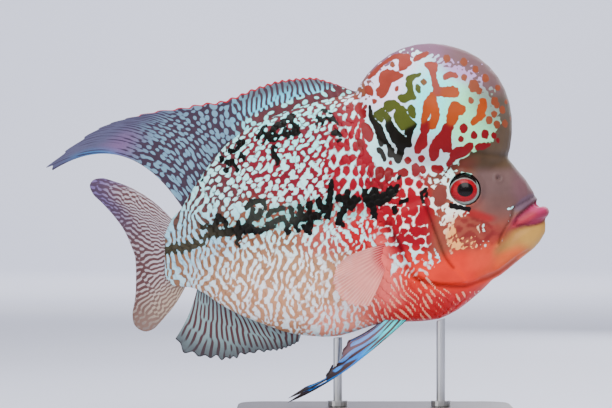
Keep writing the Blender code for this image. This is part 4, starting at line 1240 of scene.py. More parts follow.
    def paint_fold_shade(self, x: Array, z: Array) -> Array:
        """Paint shade into the ground along the folds and grooves of the head.

        Args:
            x: Places along the fish.
            z: Places up the fish.

        Returns:
            How bright each place stays.
        """
        shade = np.ones(len(x))
        for crease in HeadSculpt().creases:
            shade *= 1.0 - 0.55 * min(crease.depth, 1.0) * crease.near(x, z)
        return shade


@dataclass
class HeadSculpt:
    """Folds, grooves and rims of the head, pressed into the skin."""

    creases: tuple = (
        Crease(((5.5, 118), (13.5, 104), (17.5, 92), (24, 87), (35.5, 84), (48, 83),
                (58.5, 86), (68.5, 90), (79, 97.5)), 1.1, 1),
        Crease(((27, 129), (33, 113), (38.5, 99.5), (43, 93.5)), 0.9, 1),
        Crease(((58.5, 87.5), (68.5, 91.5), (79, 99), (86, 103)), 0.8, 0.45),
        Crease(((77, 127), (75.5, 121), (72.5, 116), (69.5, 110.5), (68.5, 107)), 0.8, 1),
        Crease(((90.5, 133.8), (82, 129.6), (77, 127)), 0.6, 0.6),
        Crease(((92.8, 131.5), (86.1, 127.2), (79.5, 121.8), (77.4, 117.5)), 0.7, 1.1),
        Crease(((98, 120.8), (92, 118.2), (86.9, 117.1), (79, 117)), 0.7, 0.7),
        Crease(((75.5, 156), (67.5, 156.5), (56.5, 157.5), (46, 152.5), (38, 146)), 1.6, 0.5),
    )
    cover_ridge: Crease = Crease(((24.5, 128), (30.5, 112), (36, 98)), 2.2, 0.6)
    nostril: tuple = (68.5, 143.5)

    def press(self, points: Array) -> Array:
        """Work out how far the skin moves outward.

        Args:
            points: Places in millimetres, one row each.

        Returns:
            Millimetres outward at each place, and less than 0 inward.
        """
        x, z = points[:, 0], points[:, 2]
        move = np.zeros(len(x))
        for crease in self.creases:
            move -= crease.depth * crease.near(x, z)
        move += self.cover_ridge.depth * self.cover_ridge.near(x, z)
        pit = np.hypot(x - self.nostril[0], z - self.nostril[1])
        move += 0.5 * np.exp(-((pit - 2.0) / 0.9) ** 2) - 1.6 * np.exp(-(pit / 1.1) ** 2)
        rim = np.hypot(x - EYE_SPOT[0], z - EYE_SPOT[1])
        move += 0.5 * np.exp(-((rim - 10.4) / 1.0) ** 2)
        side = ease((np.abs(points[:, 1]) - 0.8) / 2.0)
        return move * side


@dataclass
class Mesh:
    """Points in millimetres with faces and painted layers."""

    points: Array
    faces: Any
    layers: dict = field(default_factory=dict)

    def make(self, name: str, material: Material) -> Piece:
        """Turn it into a smooth-shaded object.

        Args:
            name: The object's name.
            material: Its material.

        Returns:
            The object.
        """
        mesh = bpy.data.meshes.new(name)
        faces = self.faces.tolist() if isinstance(self.faces, np.ndarray) else self.faces
        mesh.from_pydata((self.points * MM).tolist(), [], faces)
        mesh.update()
        for key, values in self.layers.items():
            kind = "FLOAT_COLOR" if values.ndim == 2 else "FLOAT"
            layer = mesh.attributes.new(key, kind, "POINT")
            if values.ndim == 2:
                full = np.ones((len(values), 4), np.float32)
                full[:, :3] = values
                layer.data.foreach_set("color", full.ravel())
            else:
                layer.data.foreach_set("value", values.astype(np.float32))
        mesh.materials.append(material)
        mesh.shade_smooth()
        obj = bpy.data.objects.new(name, mesh)
        bpy.context.scene.collection.objects.link(obj)
        return obj


def read_mesh(obj: Piece) -> tuple[Array, Array]:
    """Read the points and quads of an object.

    Args:
        obj: An object whose faces all have four corners.

    Returns:
        Its points in millimetres, and the points of each face.
    """
    mesh = obj.data
    points = np.zeros(len(mesh.vertices) * 3)
    mesh.vertices.foreach_get("co", points)
    return points.reshape(-1, 3) / MM, np.array([tuple(p.vertices) for p in mesh.polygons])


@dataclass
class Skin:
    """One skin over all the flesh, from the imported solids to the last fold."""

    nodes: tuple = ("head", "hump", "upper_jaw", "lower_jaw", "gill_cover_right", "gill_cover_left",
                    "torso_front", "torso_rear", "tail_peduncle")
    voxel: float = 0.96
    overlap: float = 0.3
    inset: float = 0.75
    rounds: int = 46
    pulls: tuple = (0.55, -0.575)
    held: tuple = (Wash(84, 118, 20, 24, 0, 0.25), Wash(*EYE_SPOT, 12, 12, 0, 0.25))
    finish: SkinFinish = SkinFinish("fish_skin")
    coat: Coat = field(default_factory=Coat)
    sculpt: HeadSculpt = field(default_factory=HeadSculpt)

    def gather(self) -> Piece:
        """Join the flesh nodes into one closed surface of even faces.

        Returns:
            An object with the raw surface.
        """
        joined = bmesh.new()
        for name in self.nodes:
            work = bmesh.new()
            work.from_mesh(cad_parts[name].data)
            bmesh.ops.remove_doubles(work, verts=work.verts, dist=1e-6)
            work.normal_update()
            for vertex in work.verts:
                vertex.co += vertex.normal * self.overlap * MM
            scratch = bpy.data.meshes.new("scratch")
            work.to_mesh(scratch)
            work.free()
            joined.from_mesh(scratch)
            bpy.data.meshes.remove(scratch)
        mesh = bpy.data.meshes.new("skin_raw")
        joined.to_mesh(mesh)
        joined.free()
        obj = bpy.data.objects.new("skin_raw", mesh)
        bpy.context.scene.collection.objects.link(obj)
        step = obj.modifiers.new("remesh", "REMESH")
        step.mode = "VOXEL"
        step.voxel_size = self.voxel * MM
        bpy.context.view_layer.update()
        graph = bpy.context.evaluated_depsgraph_get()
        even = bpy.data.meshes.new_from_object(obj.evaluated_get(graph))
        obj.modifiers.clear()
        obj.data = even
        return obj

    def relax(self, points: Array, quads: Array) -> Array:
        """Smooth away the facets without shrinking the form.

        Args:
            points: The surface's points.
            quads: The points of each face.

        Returns:
            The smoothed points.
        """
        edges = np.concatenate([quads[:, [k, (k + 1) % 4]] for k in range(4)])
        first, second = edges[:, 0], edges[:, 1]
        count = np.bincount(first, minlength=len(points)).astype(float)
        count += np.bincount(second, minlength=len(points))
        held = [wash.weight(points[:, 0], points[:, 2]) for wash in self.held]
        hold = 1.0 - 0.8 * np.maximum.reduce(held)
        for _ in range(self.rounds):
            for pull in self.pulls:
                mean = np.zeros_like(points)
                for axis in range(3):
                    mean[:, axis] = np.bincount(first, points[second, axis], len(points))
                    mean[:, axis] += np.bincount(second, points[first, axis], len(points))
                points = points + (mean / count[:, None] - points) * (pull * hold)[:, None]
        return points

    def build(self) -> Piece:
        """Make the skin and paint it.

        Returns:
            The skin.
        """
        raw = self.gather()
        points, quads = read_mesh(raw)
        points = self.relax(points, quads)
        points = points - point_normals(points, quads) * (self.overlap + self.inset)
        normals = point_normals(points, quads)
        points = points + normals * self.sculpt.press(points)[:, None]
        bpy.data.objects.remove(raw, do_unlink=True)
        self.coat.flank = FlankMap(BVHTree.FromPolygons((points * MM).tolist(), quads.tolist()))
        skin = Mesh(points, quads, self.coat.layers(points)).make("skin", self.finish.make())
        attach(skin, "root")
        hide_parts(*self.nodes)
        LOG.info("skin: %d points", len(points))
        return skin


def point_normals(points: Array, quads: Array) -> Array:
    """Work out the normals of a quad mesh at its points.

    Args:
        points: The mesh's points.
        quads: The points of each face.

    Returns:
        A unit vector for each point.
    """
    across = points[quads[:, 2]] - points[quads[:, 0]]
    along = points[quads[:, 3]] - points[quads[:, 1]]
    face = np.cross(across, along)
    normals = np.zeros_like(points)
    for k in range(4):
        for axis in range(3):
            normals[:, axis] += np.bincount(quads[:, k], face[:, axis], len(points))
    size = np.linalg.norm(normals, axis=1)
    return normals / np.maximum(size, 1e-12)[:, None]


@dataclass
class Scales:
    """Overlapping scales on one flank, laid in rows along the fish."""

    side: float
    name: str
    pitch: float = 4.5
    row: float = 3.5
    length: float = 6.6
    half_height: float = 3.6
    lift: float = 0.5
    drop: float = 0.28
    across: int = 8
    stations: tuple = (0.0, 0.28, 0.44, 0.6, 0.76, 0.92, 1.0)
    first_x: float = -116.0
    last_x: float = 60.0
    rows: int = 26
    map_start: tuple = (-130.0, -95.0)
    map_size: tuple = (210.0, 190.0)
    patch: float = 0.004
    edge: tuple = ((60, 56), (72, 56), (80, 44), (86, 28), (94, 16),
                   (104, 10), (117.5, 5), (127, 6), (133, 14), (144, 12),
                   (152, -4), (160, -6), (176, -11), (193, -14))
    taper: tuple = ((-118, 0.6), (-80, 0.9), (-30, 1), (60, 0.85))
    finish: SkinFinish = SkinFinish("fish_scales", roughness=0.36, coat=0.08)

    def roots(self, flank: FlankMap) -> list[tuple[float, float, float, float]]:
        """Choose where each scale grows.

        Args:
            flank: The unwrapped flank.

        Returns:
            Place along and up the fish, with its place on the unwrapped flank.
        """
        found = []
        for column, x in enumerate(np.arange(self.first_x, self.last_x, self.pitch / 2.0)):
            arc, height = flank.girth(float(x))
            for row in range(-self.rows, self.rows + 1):
                s = row * self.row
                if (row + column) % 2 or not arc[0] + 1.5 < s < arc[-1] - 1.5:
                    continue
                z = float(np.interp(s, arc, height))
                if x < float(through(self.edge, np.array([z]))[0]) - 1.0:
                    found.append((float(x), z, (x - self.map_start[0]) / self.map_size[0],
                                  (s - self.map_start[1]) / self.map_size[1]))
        return found

    def build(self, skin: Piece, coat: Coat) -> Piece:
        """Lay the scales on the skin.

        Args:
            skin: The skin they lie on.
            coat: The markings.

        Returns:
            The scales as one object.
        """
        tree = BVHTree.FromObject(skin, bpy.context.evaluated_depsgraph_get())
        draw = np.random.default_rng(5)
        points, faces, spots = [], [], []
        for x, z, u, v in self.roots(coat.flank):
            taper = float(through(self.taper, np.array([x]))[0])
            size = taper * (1.0 + 0.05 * draw.uniform(-1.0, 1.0))
            start = Vector((x, self.side * BESIDE, z)) * MM
            hit, normal = tree.ray_cast(start, Vector((0.0, -self.side, 0.0)), RAY)[:2]
            if hit is not None:
                faces.extend(self.plate_faces(len(points)))
                for spot, a, b in self.plate(tree, hit, normal, size):
                    points.append(spot)
                    spots.append((u + self.patch * (b - 0.3), v + self.patch * 0.5 * a))
        cloud = np.array([tuple(p) for p in points]) / MM
        if self.side > 0.0:
            faces = [tuple(reversed(f)) for f in faces]
        scales = Mesh(cloud, faces, coat.layers(cloud)).make(self.name, self.finish.make())
        self.unwrap(scales, np.array(spots))
        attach(scales, "root")
        LOG.info("%s: %d faces", self.name, len(faces))
        return scales

    def plate(self, tree: BVHTree, root: Vector, normal: Vector,
              size: float) -> list[tuple[Vector, float, float]]:
        """Bend one scale over the skin.

        Args:
            tree: The skin.
            root: Where it grows.
            normal: The skin's direction there.
            size: Its size against a whole scale.

        Returns:
            Each point with its share across and along the scale.
        """
        back = Vector((-1.0, 0.0, -0.15))
        back = (back - normal * normal.dot(back)).normalized()
        up = normal.cross(back).normalized()
        result = []
        for b in self.stations:
            tail_end = max(b - 0.35, 0.0) / 0.69
            half = self.half_height * size * (0.72 + 0.28 * min(b / 0.35, 1.0))
            half *= math.sqrt(1.0 - tail_end ** 2)
            for j in range(self.across):
                a = 2.0 * j / (self.across - 1) - 1.0
                spot = root + (back * (b - 0.3) * self.length * size + up * (a * half)) * MM
                on, away = tree.find_nearest(spot)[:2]
                height = self.lift * (0.2 + 0.8 * b) * (1.0 - 0.3 * a * a)
                if b in (0.0, 1.0) or j in (0, self.across - 1):
                    height -= self.drop
                result.append((on + away * height * MM, a, b))
        return result

    def plate_faces(self, first: int) -> list[tuple[int, ...]]:
        """List the faces of one closed plate: its outer side and one face under it.

        Args:
            first: The number of the plate's first point.

        Returns:
            The points of each face.
        """
        wide, tall = len(self.stations), self.across
        faces = []
        for i in range(wide - 1):
            for j in range(tall - 1):
                a = first + i * tall + j
                faces.append((a, a + tall, a + tall + 1, a + 1))
        rim = list(range(tall)) + [i * tall + tall - 1 for i in range(1, wide)]
        rim += [(wide - 1) * tall + j for j in range(tall - 2, -1, -1)]
        rim += [i * tall for i in range(wide - 2, 0, -1)]
        faces.append(tuple(first + k for k in rim))
        return faces

    def unwrap(self, obj: Piece, spots: Array) -> None:
        """Give each scale a small patch at its root's place on the unwrapped flank.

        Args:
            obj: The scales.
            spots: The place of each point on the map.
        """
        mesh = obj.data
        layer = mesh.uv_layers.new(name="OFBake")
        corners = np.zeros(len(mesh.loops), np.int32)
        mesh.loops.foreach_get("vertex_index", corners)
        layer.data.foreach_set("uv", spots[corners].astype(np.float32).ravel())


class FinPattern(Enum):
    """How a fin is painted."""

    DORSAL = "dorsal"
    CAUDAL = "caudal"
    ANAL = "anal"
    PELVIC = "pelvic"
    PECTORAL = "pectoral"


@dataclass(frozen=True)
class FinPlaces:
    """Places on a fin.

    u is the share along the fin and v the share out from the body. lines is 1 on a ray and -1
    between rays. across is how far along the fin a place lies, and long is its ray's length.
    """

    u: Array
    v: Array
    lines: Array
    across: Array
    long: Array


def paint_dorsal(at: FinPlaces) -> dict[str, Array]:
    """Paint the back's fin: dashes in front, spots and threads behind, and ovals at its foot.

    Args:
        at: The fin's places.

    Returns:
        Layers of the finish by attribute name.
    """
    u, v, across, long = at.u, at.v, at.across, at.long
    reach = v * long
    soft = ease((u - 0.47) / 0.14)
    fade = ease((reach - 24.0) / 24.0)
    dashes = Ripple(3.1, 0.0, 24.0, 127).at(across, reach) + 0.1
    flat = np.full(len(u), 1.3)
    spots = 1.6 * Pearls(4.1, 4.2, 157, 0.2).at(across, reach, flat, 1.25 * flat,
                                                0.1 * flat) + 0.1 - 0.6 * fade
    threads = Ripple(2.7, 0.0, 7.0, 131).at(across, 0.7 * reach) + 0.5
    row = ease((10.0 - reach) / 2.4) * (1.0 - soft)
    own = np.full(len(u), 1.0)
    ovals = Pearls(5.6, 4.4, 151, 0.26).at(across, reach + 0.15 * across, 1.9 * own,
                                           1.2 * own, 0.3 * own)
    mark = dashes * (1.0 - soft) + (spots * (1.0 - fade) + threads * fade) * soft
    mark = mark * (1.0 - row) + ovals * row
    ground = mingle(srgb(86, 62, 76), srgb(68, 54, 74), soft)
    ground = mingle(ground, srgb(116, 58, 66), row)
    ground = mingle(ground, srgb(62, 58, 88), soft * fade)
    tint = mingle(srgb(168, 208, 216), srgb(142, 174, 188), soft)
    tint = mingle(tint, srgb(118, 148, 160), (1.0 - soft) * ease((v - 0.55) / 0.3))
    tint = mingle(tint, srgb(208, 228, 228), row)
    tint = mingle(tint, srgb(98, 108, 140), fade * soft)
    tint = mingle(tint, srgb(140, 122, 160),
                  ease((u - 0.86) / 0.06) * fade * (1.0 - ease((v - 0.5) / 0.25)))
    low = ease((u - 0.955) / 0.03) * np.exp(-((v - 0.66) / 0.16) ** 2)
    tint = mingle(tint, srgb(72, 156, 198), 0.8 * low)
    edge = (reach - long + 1.1) * 1.6
    ink = edge * (1.0 - ease((u - 0.72) / 0.1)) - 0.3
    return {"ground": ground, "mark": mark, "mark_tint": tint, "ink": ink}


def paint_caudal(at: FinPlaces) -> dict[str, Array]:
    """Paint the tail fin with short pale flecks.

    Args:
        at: The fin's places.

    Returns:
        Layers of the finish by attribute name.
    """
    u, v, across, reach = at.u, at.v, at.across, at.v * at.long
    outer = ease((v - 0.55) / 0.4)
    mark = 0.9 * Ripple(2.3, 0.0, 46.0, 137).at(across, reach) - 0.05 - 0.3 * outer
    upper = ease((0.45 - u) / 0.3)
    ground = mingle(srgb(118, 82, 84), srgb(146, 122, 112), ease((u - 0.66) / 0.3))
    ground = mingle(ground, srgb(96, 80, 108), upper * outer)
    tint = mingle(srgb(188, 186, 188), srgb(184, 174, 162), ease((u - 0.6) / 0.35))
    tint = mingle(tint, srgb(142, 136, 176), upper * outer)
    tint = mingle(tint, srgb(152, 142, 136), ease((u - 0.7) / 0.2) * outer)
    return {"ground": ground, "mark": mark, "mark_tint": tint}


def paint_anal(at: FinPlaces) -> dict[str, Array]:
    """Paint the fin under the tail with streaks and a dark edge.

    Args:
        at: The fin's places.

    Returns:
        Layers of the finish by attribute name.
    """
    u, v, across, long = at.u, at.v, at.across, at.long
    reach = v * long
    outer = ease((v - 0.5) / 0.5)
    mark = 0.9 * Ripple(3.0, 0.0, 12.0, 139).at(across, reach) + 0.15 + 0.2 * outer
    ground = mingle(srgb(98, 58, 62), srgb(70, 60, 68), outer)
    tint = mingle(srgb(158, 178, 180), srgb(104, 118, 124), outer)
    ink = (reach - long + 1.0) * 1.4 - 0.3
    ink_tint = even(srgb(54, 58, 64), u)
    return {"ground": ground, "mark": mark, "mark_tint": tint, "ink": ink, "ink_tint": ink_tint}


def paint_pelvic(at: FinPlaces) -> dict[str, Array]:
    """Paint a trailing belly fin with blue streaks.

    Args:
        at: The fin's places.

    Returns:
        Layers of the finish by attribute name.
    """
    u, v, across, reach = at.u, at.v, at.across, at.v * at.long
    wander = Ripple(24.0, 90.0, 30.0, 113).at(across, reach)
    broken = Ripple(5.0, 0.0, 24.0, 149).at(across, 0.6 * reach)
    mark = np.cos(2.0 * math.pi * across / 3.4 + 0.9 * wander) + 0.55 * broken + 0.15
    mark = mark - 1.6 * ease((v - 0.86) / 0.12) * ease((u - 0.2) / 0.2)
    ground = mingle(srgb(122, 92, 88), srgb(64, 52, 58), ease((v - 0.3) / 0.7))
    ground = mingle(ground, srgb(148, 122, 128), ease((u - 0.55) / 0.3))
    tint = mingle(srgb(206, 232, 232), srgb(112, 176, 222), ease((v - 0.1) / 0.45))
    tint = mingle(tint, srgb(158, 188, 216), ease((u - 0.5) / 0.3) * ease(v / 0.5))
    ink = (0.055 - u) * 40.0 + 0.2 * broken
    ink_tint = even(srgb(48, 40, 40), u)
    return {"ground": ground, "mark": mark, "mark_tint": tint, "ink": ink, "ink_tint": ink_tint}


def paint_pectoral(at: FinPlaces) -> dict[str, Array]:
    """Paint a clear breast fin that is red at its root.

    Args:
        at: The fin's places.

    Returns:
        Layers of the finish by attribute name.
    """
    u, v, lines = at.u, at.v, at.lines
    mark = 0.5 * lines - 0.3
    ground = mingle(srgb(222, 112, 108), srgb(226, 184, 176), ease(v / 0.5))
    tint = mingle(srgb(236, 170, 160), srgb(238, 208, 200), v)
    ink = (0.34 - v - 0.22 * u) * 5.0 + 0.9 * lines - 0.5
    ink_tint = even(srgb(202, 44, 52), u)
    alpha = 0.9 - 0.36 * v + 0.08 * lines
    return {"ground": ground, "mark": mark, "mark_tint": tint, "ink": ink, "ink_tint": ink_tint,
            "alpha": np.clip(alpha, 0.0, 1.0)}


FIN_PAINTERS = {FinPattern.DORSAL: paint_dorsal, FinPattern.CAUDAL: paint_caudal,
                FinPattern.ANAL: paint_anal, FinPattern.PELVIC: paint_pelvic,
                FinPattern.PECTORAL: paint_pectoral}


@dataclass
class Fin:
    """A fin with raised rays: where they start and end, and how they bend.

    Each base and tip stop is (share along the fin, x, z).
    """

    name: str
    nodes: tuple
    slot: str
    pattern: FinPattern
    base: tuple
    tips: tuple
    rays: int
    bow: Callable[[Array], tuple[Array, Array]]
    sway: Callable[[Array, Array], Array]
    side: float = 0.0
    spines: float = 0.0
    samples: int = 8
    rows: int = 72
    scallop: float = 0.05
    ragged: Ripple = Ripple(0.11, 0.0, 10.0, 91)
    wave: Ripple = Ripple(0.3, 0.0, 20.0, 97)
    wave_high: float = 0.35
    membrane: float = 0.34
    root: float = 1.5
    ridge: float = 0.3

    def grid(self) -> tuple[Array, Array]:
        """Spread points evenly over one side of the fin.

        Returns:
            Each point's share along the fin and its share out from the body.
        """
        columns = self.samples * (self.rays - 1) + 1
        u = np.repeat(np.linspace(0.0, 1.0, columns), self.rows + 1)
        v = np.tile(np.linspace(0.0, 1.0, self.rows + 1), columns)
        return u, v

    def build(self, flank: Callable[[Array, Array], Array] | None) -> Piece:
        """Make and paint the fin.

        Args:
            flank: Gives the half-width of the body, for a fin that lies on the flank.

        Returns:
            The fin.
        """
        u, v = self.grid()
        cell = u * (self.rays - 1)
        crest = np.cos(2.0 * math.pi * cell)
        branch = np.cos(4.0 * math.pi * cell + math.pi)
        soft = ease((u - self.spines) / 0.04) if self.spines else np.ones(len(u))
        split = ease((v - 0.45) / 0.3) * soft
        lines = crest * (1.0 - split) + branch * split
        dip = self.scallop * (0.5 - 0.5 * crest) * ease((v - 0.6) / 0.4)
        ragged = 0.24 * self.scallop * self.ragged.at(u, 0.0 * u) * ease((v - 0.8) / 0.2) * soft
        w = v * (1.0 - dip - ragged)
        stops = [through([(s[0], s[k]) for s in line], u) for line in (self.base, self.tips)
                 for k in (1, 2)]
        base_x, base_z, tip_x, tip_z = stops
        bow_x, bow_z = self.bow(u)
        bulge = 2.0 * w * (1.0 - w)
        x = base_x + (tip_x - base_x) * w + bow_x * bulge
        z = base_z + (tip_z - base_z) * w + bow_z * bulge
        y = self.sway(u, w) + self.wave_high * w * w * self.wave.at(u, 0.2 * w)
        if flank is not None:
            y = y - flank(x, z)
        half = 0.5 * (self.membrane + (self.root - self.membrane) * (1.0 - v) ** 2)
        half = half * (1.0 - 0.55 * v) + self.ridge * (0.5 + 0.5 * lines) ** 1.6 * (1.0 - 0.75 * v)
        mirror = -1.0 if self.side > 0.0 else 1.0
        near = np.stack([x, mirror * (y - half), z], axis=1)
        far = np.stack([x, mirror * (y + half), z], axis=1)
        points = np.concatenate([near, far])
        layers = self.paint(u, v, lines)
        layers = {key: np.concatenate([value, value]) for key, value in layers.items()}
        obj = Mesh(points, self.faces(), layers).make(self.name, self.finish())
        work = bmesh.new()
        work.from_mesh(obj.data)
        bmesh.ops.recalc_face_normals(work, faces=work.faces)
        work.to_mesh(obj.data)
        work.free()
        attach(obj, "root")
        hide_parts(*self.nodes)
        LOG.info("%s: %d points", self.name, len(points))
        return obj

    def finish(self) -> Material:
        """Make the fin's material."""
        return FinFinish(self.name + "_finish", clear=self.pattern is FinPattern.PECTORAL).make()

    def faces(self) -> list[tuple[int, ...]]:
        """List the faces of both sides and the rim.

        Returns:
            The points of each face.
        """
        wide = self.samples * (self.rays - 1) + 1
        tall = self.rows + 1
        i, j = np.meshgrid(np.arange(wide - 1), np.arange(tall - 1), indexing="ij")
        a = (i * tall + j).ravel()
        near = np.stack([a, a + tall, a + tall + 1, a + 1], axis=1)
        far = near[:, ::-1] + wide * tall
        faces = [tuple(f) for f in np.concatenate([near, far]).tolist()]
        rim = [k * tall for k in range(wide)]
        rim += [(wide - 1) * tall + k for k in range(1, tall)]
        rim += [k * tall + tall - 1 for k in range(wide - 2, -1, -1)]
        rim += list(range(tall - 2, 0, -1))
        offset = wide * tall
        for k, a_now in enumerate(rim):
            b_now = rim[(k + 1) % len(rim)]
            faces.append((b_now, a_now, offset + a_now, offset + b_now))
        return faces

    def paint(self, u: Array, v: Array, lines: Array) -> dict[str, Array]:
        """Paint the fin by its rays.

        Args:
            u: Share along the fin.
            v: Share out from the body.
            lines: 1 on a ray and -1 between rays.

        Returns:
            Every layer of the finish by attribute name.
        """
        painted = FIN_PAINTERS[self.pattern](FinPlaces(u, v, lines, *self.spread_of(u)))
        plain = {"ink": np.full(len(u), -2.0), "ink_tint": even(srgb(206, 26, 52), u),
                 "alpha": np.ones(len(u))}
        return {**painted, **{key: plain[key] for key in plain if key not in painted}}

    def spread_of(self, u: Array) -> tuple[Array, Array]:
        """Measure the fin at shares along it.

        Args:
            u: Shares along the fin.

        Returns:
            How far along the fin's middle each share lies, and the length of its ray.
        """
        fine = np.linspace(0.0, 1.0, 241)
        base, tips = [np.stack([through([(s[0], s[k]) for s in line], fine) for k in (1, 2)])
                      for line in (self.base, self.tips)]
        steps = np.hypot(*np.diff(0.5 * (base + tips)))
        run = np.concatenate([[0.0], np.cumsum(steps)])
        return np.interp(u, fine, run), np.interp(u, fine, np.hypot(*(tips - base)))


def rise(u: Array, start: float) -> Array:
    """Return 0 up to a start and then grow to 1."""
    return ease((u - start) / (1.0 - start))


@dataclass
class FinSet:
    """All the fins, rooted in the skin."""

    def build(self, skin: Piece) -> None:
        """Build every fin.

        Args:
            skin: The skin they grow from.
        """
        tree = BVHTree.FromObject(skin, bpy.context.evaluated_depsgraph_get())
        back_xs = (-9, -24, -42, -60, -76, -88, -98, -107.5)
        back = tuple((k / 7, x, edge_of(tree, x, 1) - 3.6) for k, x in enumerate(back_xs))
        Fin("dorsal_fin_web", ("dorsal_fin_spiny", "dorsal_fin_soft"), "fin", FinPattern.DORSAL, back,
            ((0, -13, 192.8), (0.1, -24.8, 197.6), (0.2, -36, 200.4), (0.34, -51.8, 199),
             (0.46, -66.7, 194.8), (0.58, -86.1, 187.4), (0.68, -108.3, 183.8),
             (0.78, -137.4, 178.2), (0.87, -157.6, 170.9), (0.94, -176, 157.7),
             (0.98, -187.6, 147.6), (1, -183, 147.2)), 30,
            lambda u: (6.0 * rise(u, 0.55), 39.0 * rise(u, 0.55) ** 1.3),
            lambda u, v: 5.0 * v * v * rise(u, 0.5), spines=0.58).build(None)
        Fin("caudal_fin_web", ("caudal_fin",), "fin", FinPattern.CAUDAL,
            ((0, -114, 120), (0.5, -112, 101), (1, -106, 84)),
            ((0, -147.5, 141.8), (0.03, -153.8, 143.6), (0.06, -158.5, 142.8),
             (0.09, -161, 139.4), (0.13, -159.3, 134.7), (0.18, -154.6, 129.9),
             (0.26, -147.5, 122), (0.34, -141.9, 114.1), (0.43, -138, 105.4),
             (0.52, -135.6, 97.5), (0.61, -135.2, 88.8), (0.69, -135.2, 80.9),
             (0.76, -136, 73), (0.82, -137, 66.7), (0.87, -136.4, 62),
             (0.91, -133.6, 58.4), (0.94, -129.3, 56.9), (0.97, -124.6, 58.6),
             (1, -121, 62.8)), 16,
            lambda u: (2.0 + 0.0 * u, 6.0 - 8.0 * u),
            lambda u, v: v * v * (3.0 + 9.0 * np.sin(math.pi * u)), scallop=0).build(None)
        belly_xs = (-40.5, -56, -70, -83, -92, -99.5)
        belly = tuple((k / 5, x, edge_of(tree, x, -1) + 3.6) for k, x in enumerate(belly_xs))
        Fin("anal_fin_web", ("anal_fin",), "fin", FinPattern.ANAL, belly,
            ((0, -43, 51.4), (0.15, -48.4, 48.4), (0.3, -54.5, 46.5), (0.45, -63.5, 45.6),
             (0.58, -74.6, 43.7), (0.7, -82.4, 41.2), (0.8, -91, 42), (0.88, -100, 43),
             (0.95, -108.5, 46.4), (1, -112.5, 53)), 17,
            lambda u: (3.0 * u, -2.0 * u), lambda u, v: -3.0 * v * v * u, spines=0.3).build(None)
        for side, word in ((-1, "right"), (1, "left")):
            Fin("pelvic_fin_" + word + "_web", ("pelvic_fin_" + word,), "fin_blue",
                FinPattern.PELVIC, ((0, 21, 67), (1, 9, 67)),
                ((0, -49.5, 18.2), (0.12, -41, 24.2), (0.25, -29, 29.4),
                 (0.45, -25.6, 35.6), (0.65, -21.6, 40), (0.82, -18, 46),
                 (1, -15, 51.5)), 7,
                lambda u: (-7.0 + 5.0 * u, -15.0 + 11.0 * u),
                lambda u, v: -(7.0 + 11.0 * v - 3.0 * u * v), side=side, samples=10,
                scallop=0.03).build(None)
            Fin("pectoral_fin_" + word + "_web", ("pectoral_fin_" + word,), "fin_pale",
                FinPattern.PECTORAL, ((0, 9, 107.5), (1, 6.6, 96.5)),
                ((0, -17.5, 99.5), (0.2, -22.6, 93.5), (0.4, -24.2, 86),
                 (0.6, -20.8, 78), (0.8, -13.2, 72.6), (1, -4, 72)), 13,
                lambda u: (0.0 * u, 2.0 - 4.0 * u), lambda u, v: 2.0 - 11.0 * v, side=side,
                rows=50, scallop=0.03, membrane=0.3, ridge=0.2).build(Flank(tree, side))


@dataclass
class Flank:
    """The half-width of the body at places on one side."""

    tree: BVHTree
    side: float

    def __call__(self, x: Array, z: Array) -> Array:
        """Measure the half-width at each place.

        Args:
            x: Places along the fish.
            z: Places up the fish.

        Returns:
            The half-widths.
        """
        widths = np.zeros(len(x))
        for k, (px, pz) in enumerate(zip(x, z)):
            start = Vector((px, self.side * BESIDE, pz)) * MM
            hit = self.tree.ray_cast(start, Vector((0.0, -self.side, 0.0)), RAY)[0]
            widths[k] = abs(hit.y) / MM if hit is not None else 0.0
        return widths


def edge_of(tree: BVHTree, x: float, sign: float) -> float:
    """Measure the top or the bottom of the body.

    Args:
        tree: The skin.
        x: The place along the fish.
        sign: 1 for the top and -1 for the bottom.

    Returns:
        The height in millimetres.
    """
    start = Vector((x * MM, 0.0, 0.12 + sign * 0.12))
    hit = tree.ray_cast(start, Vector((0.0, 0.0, -sign)), 0.3)[0]
    return hit.z / MM if hit is not None else 120.0


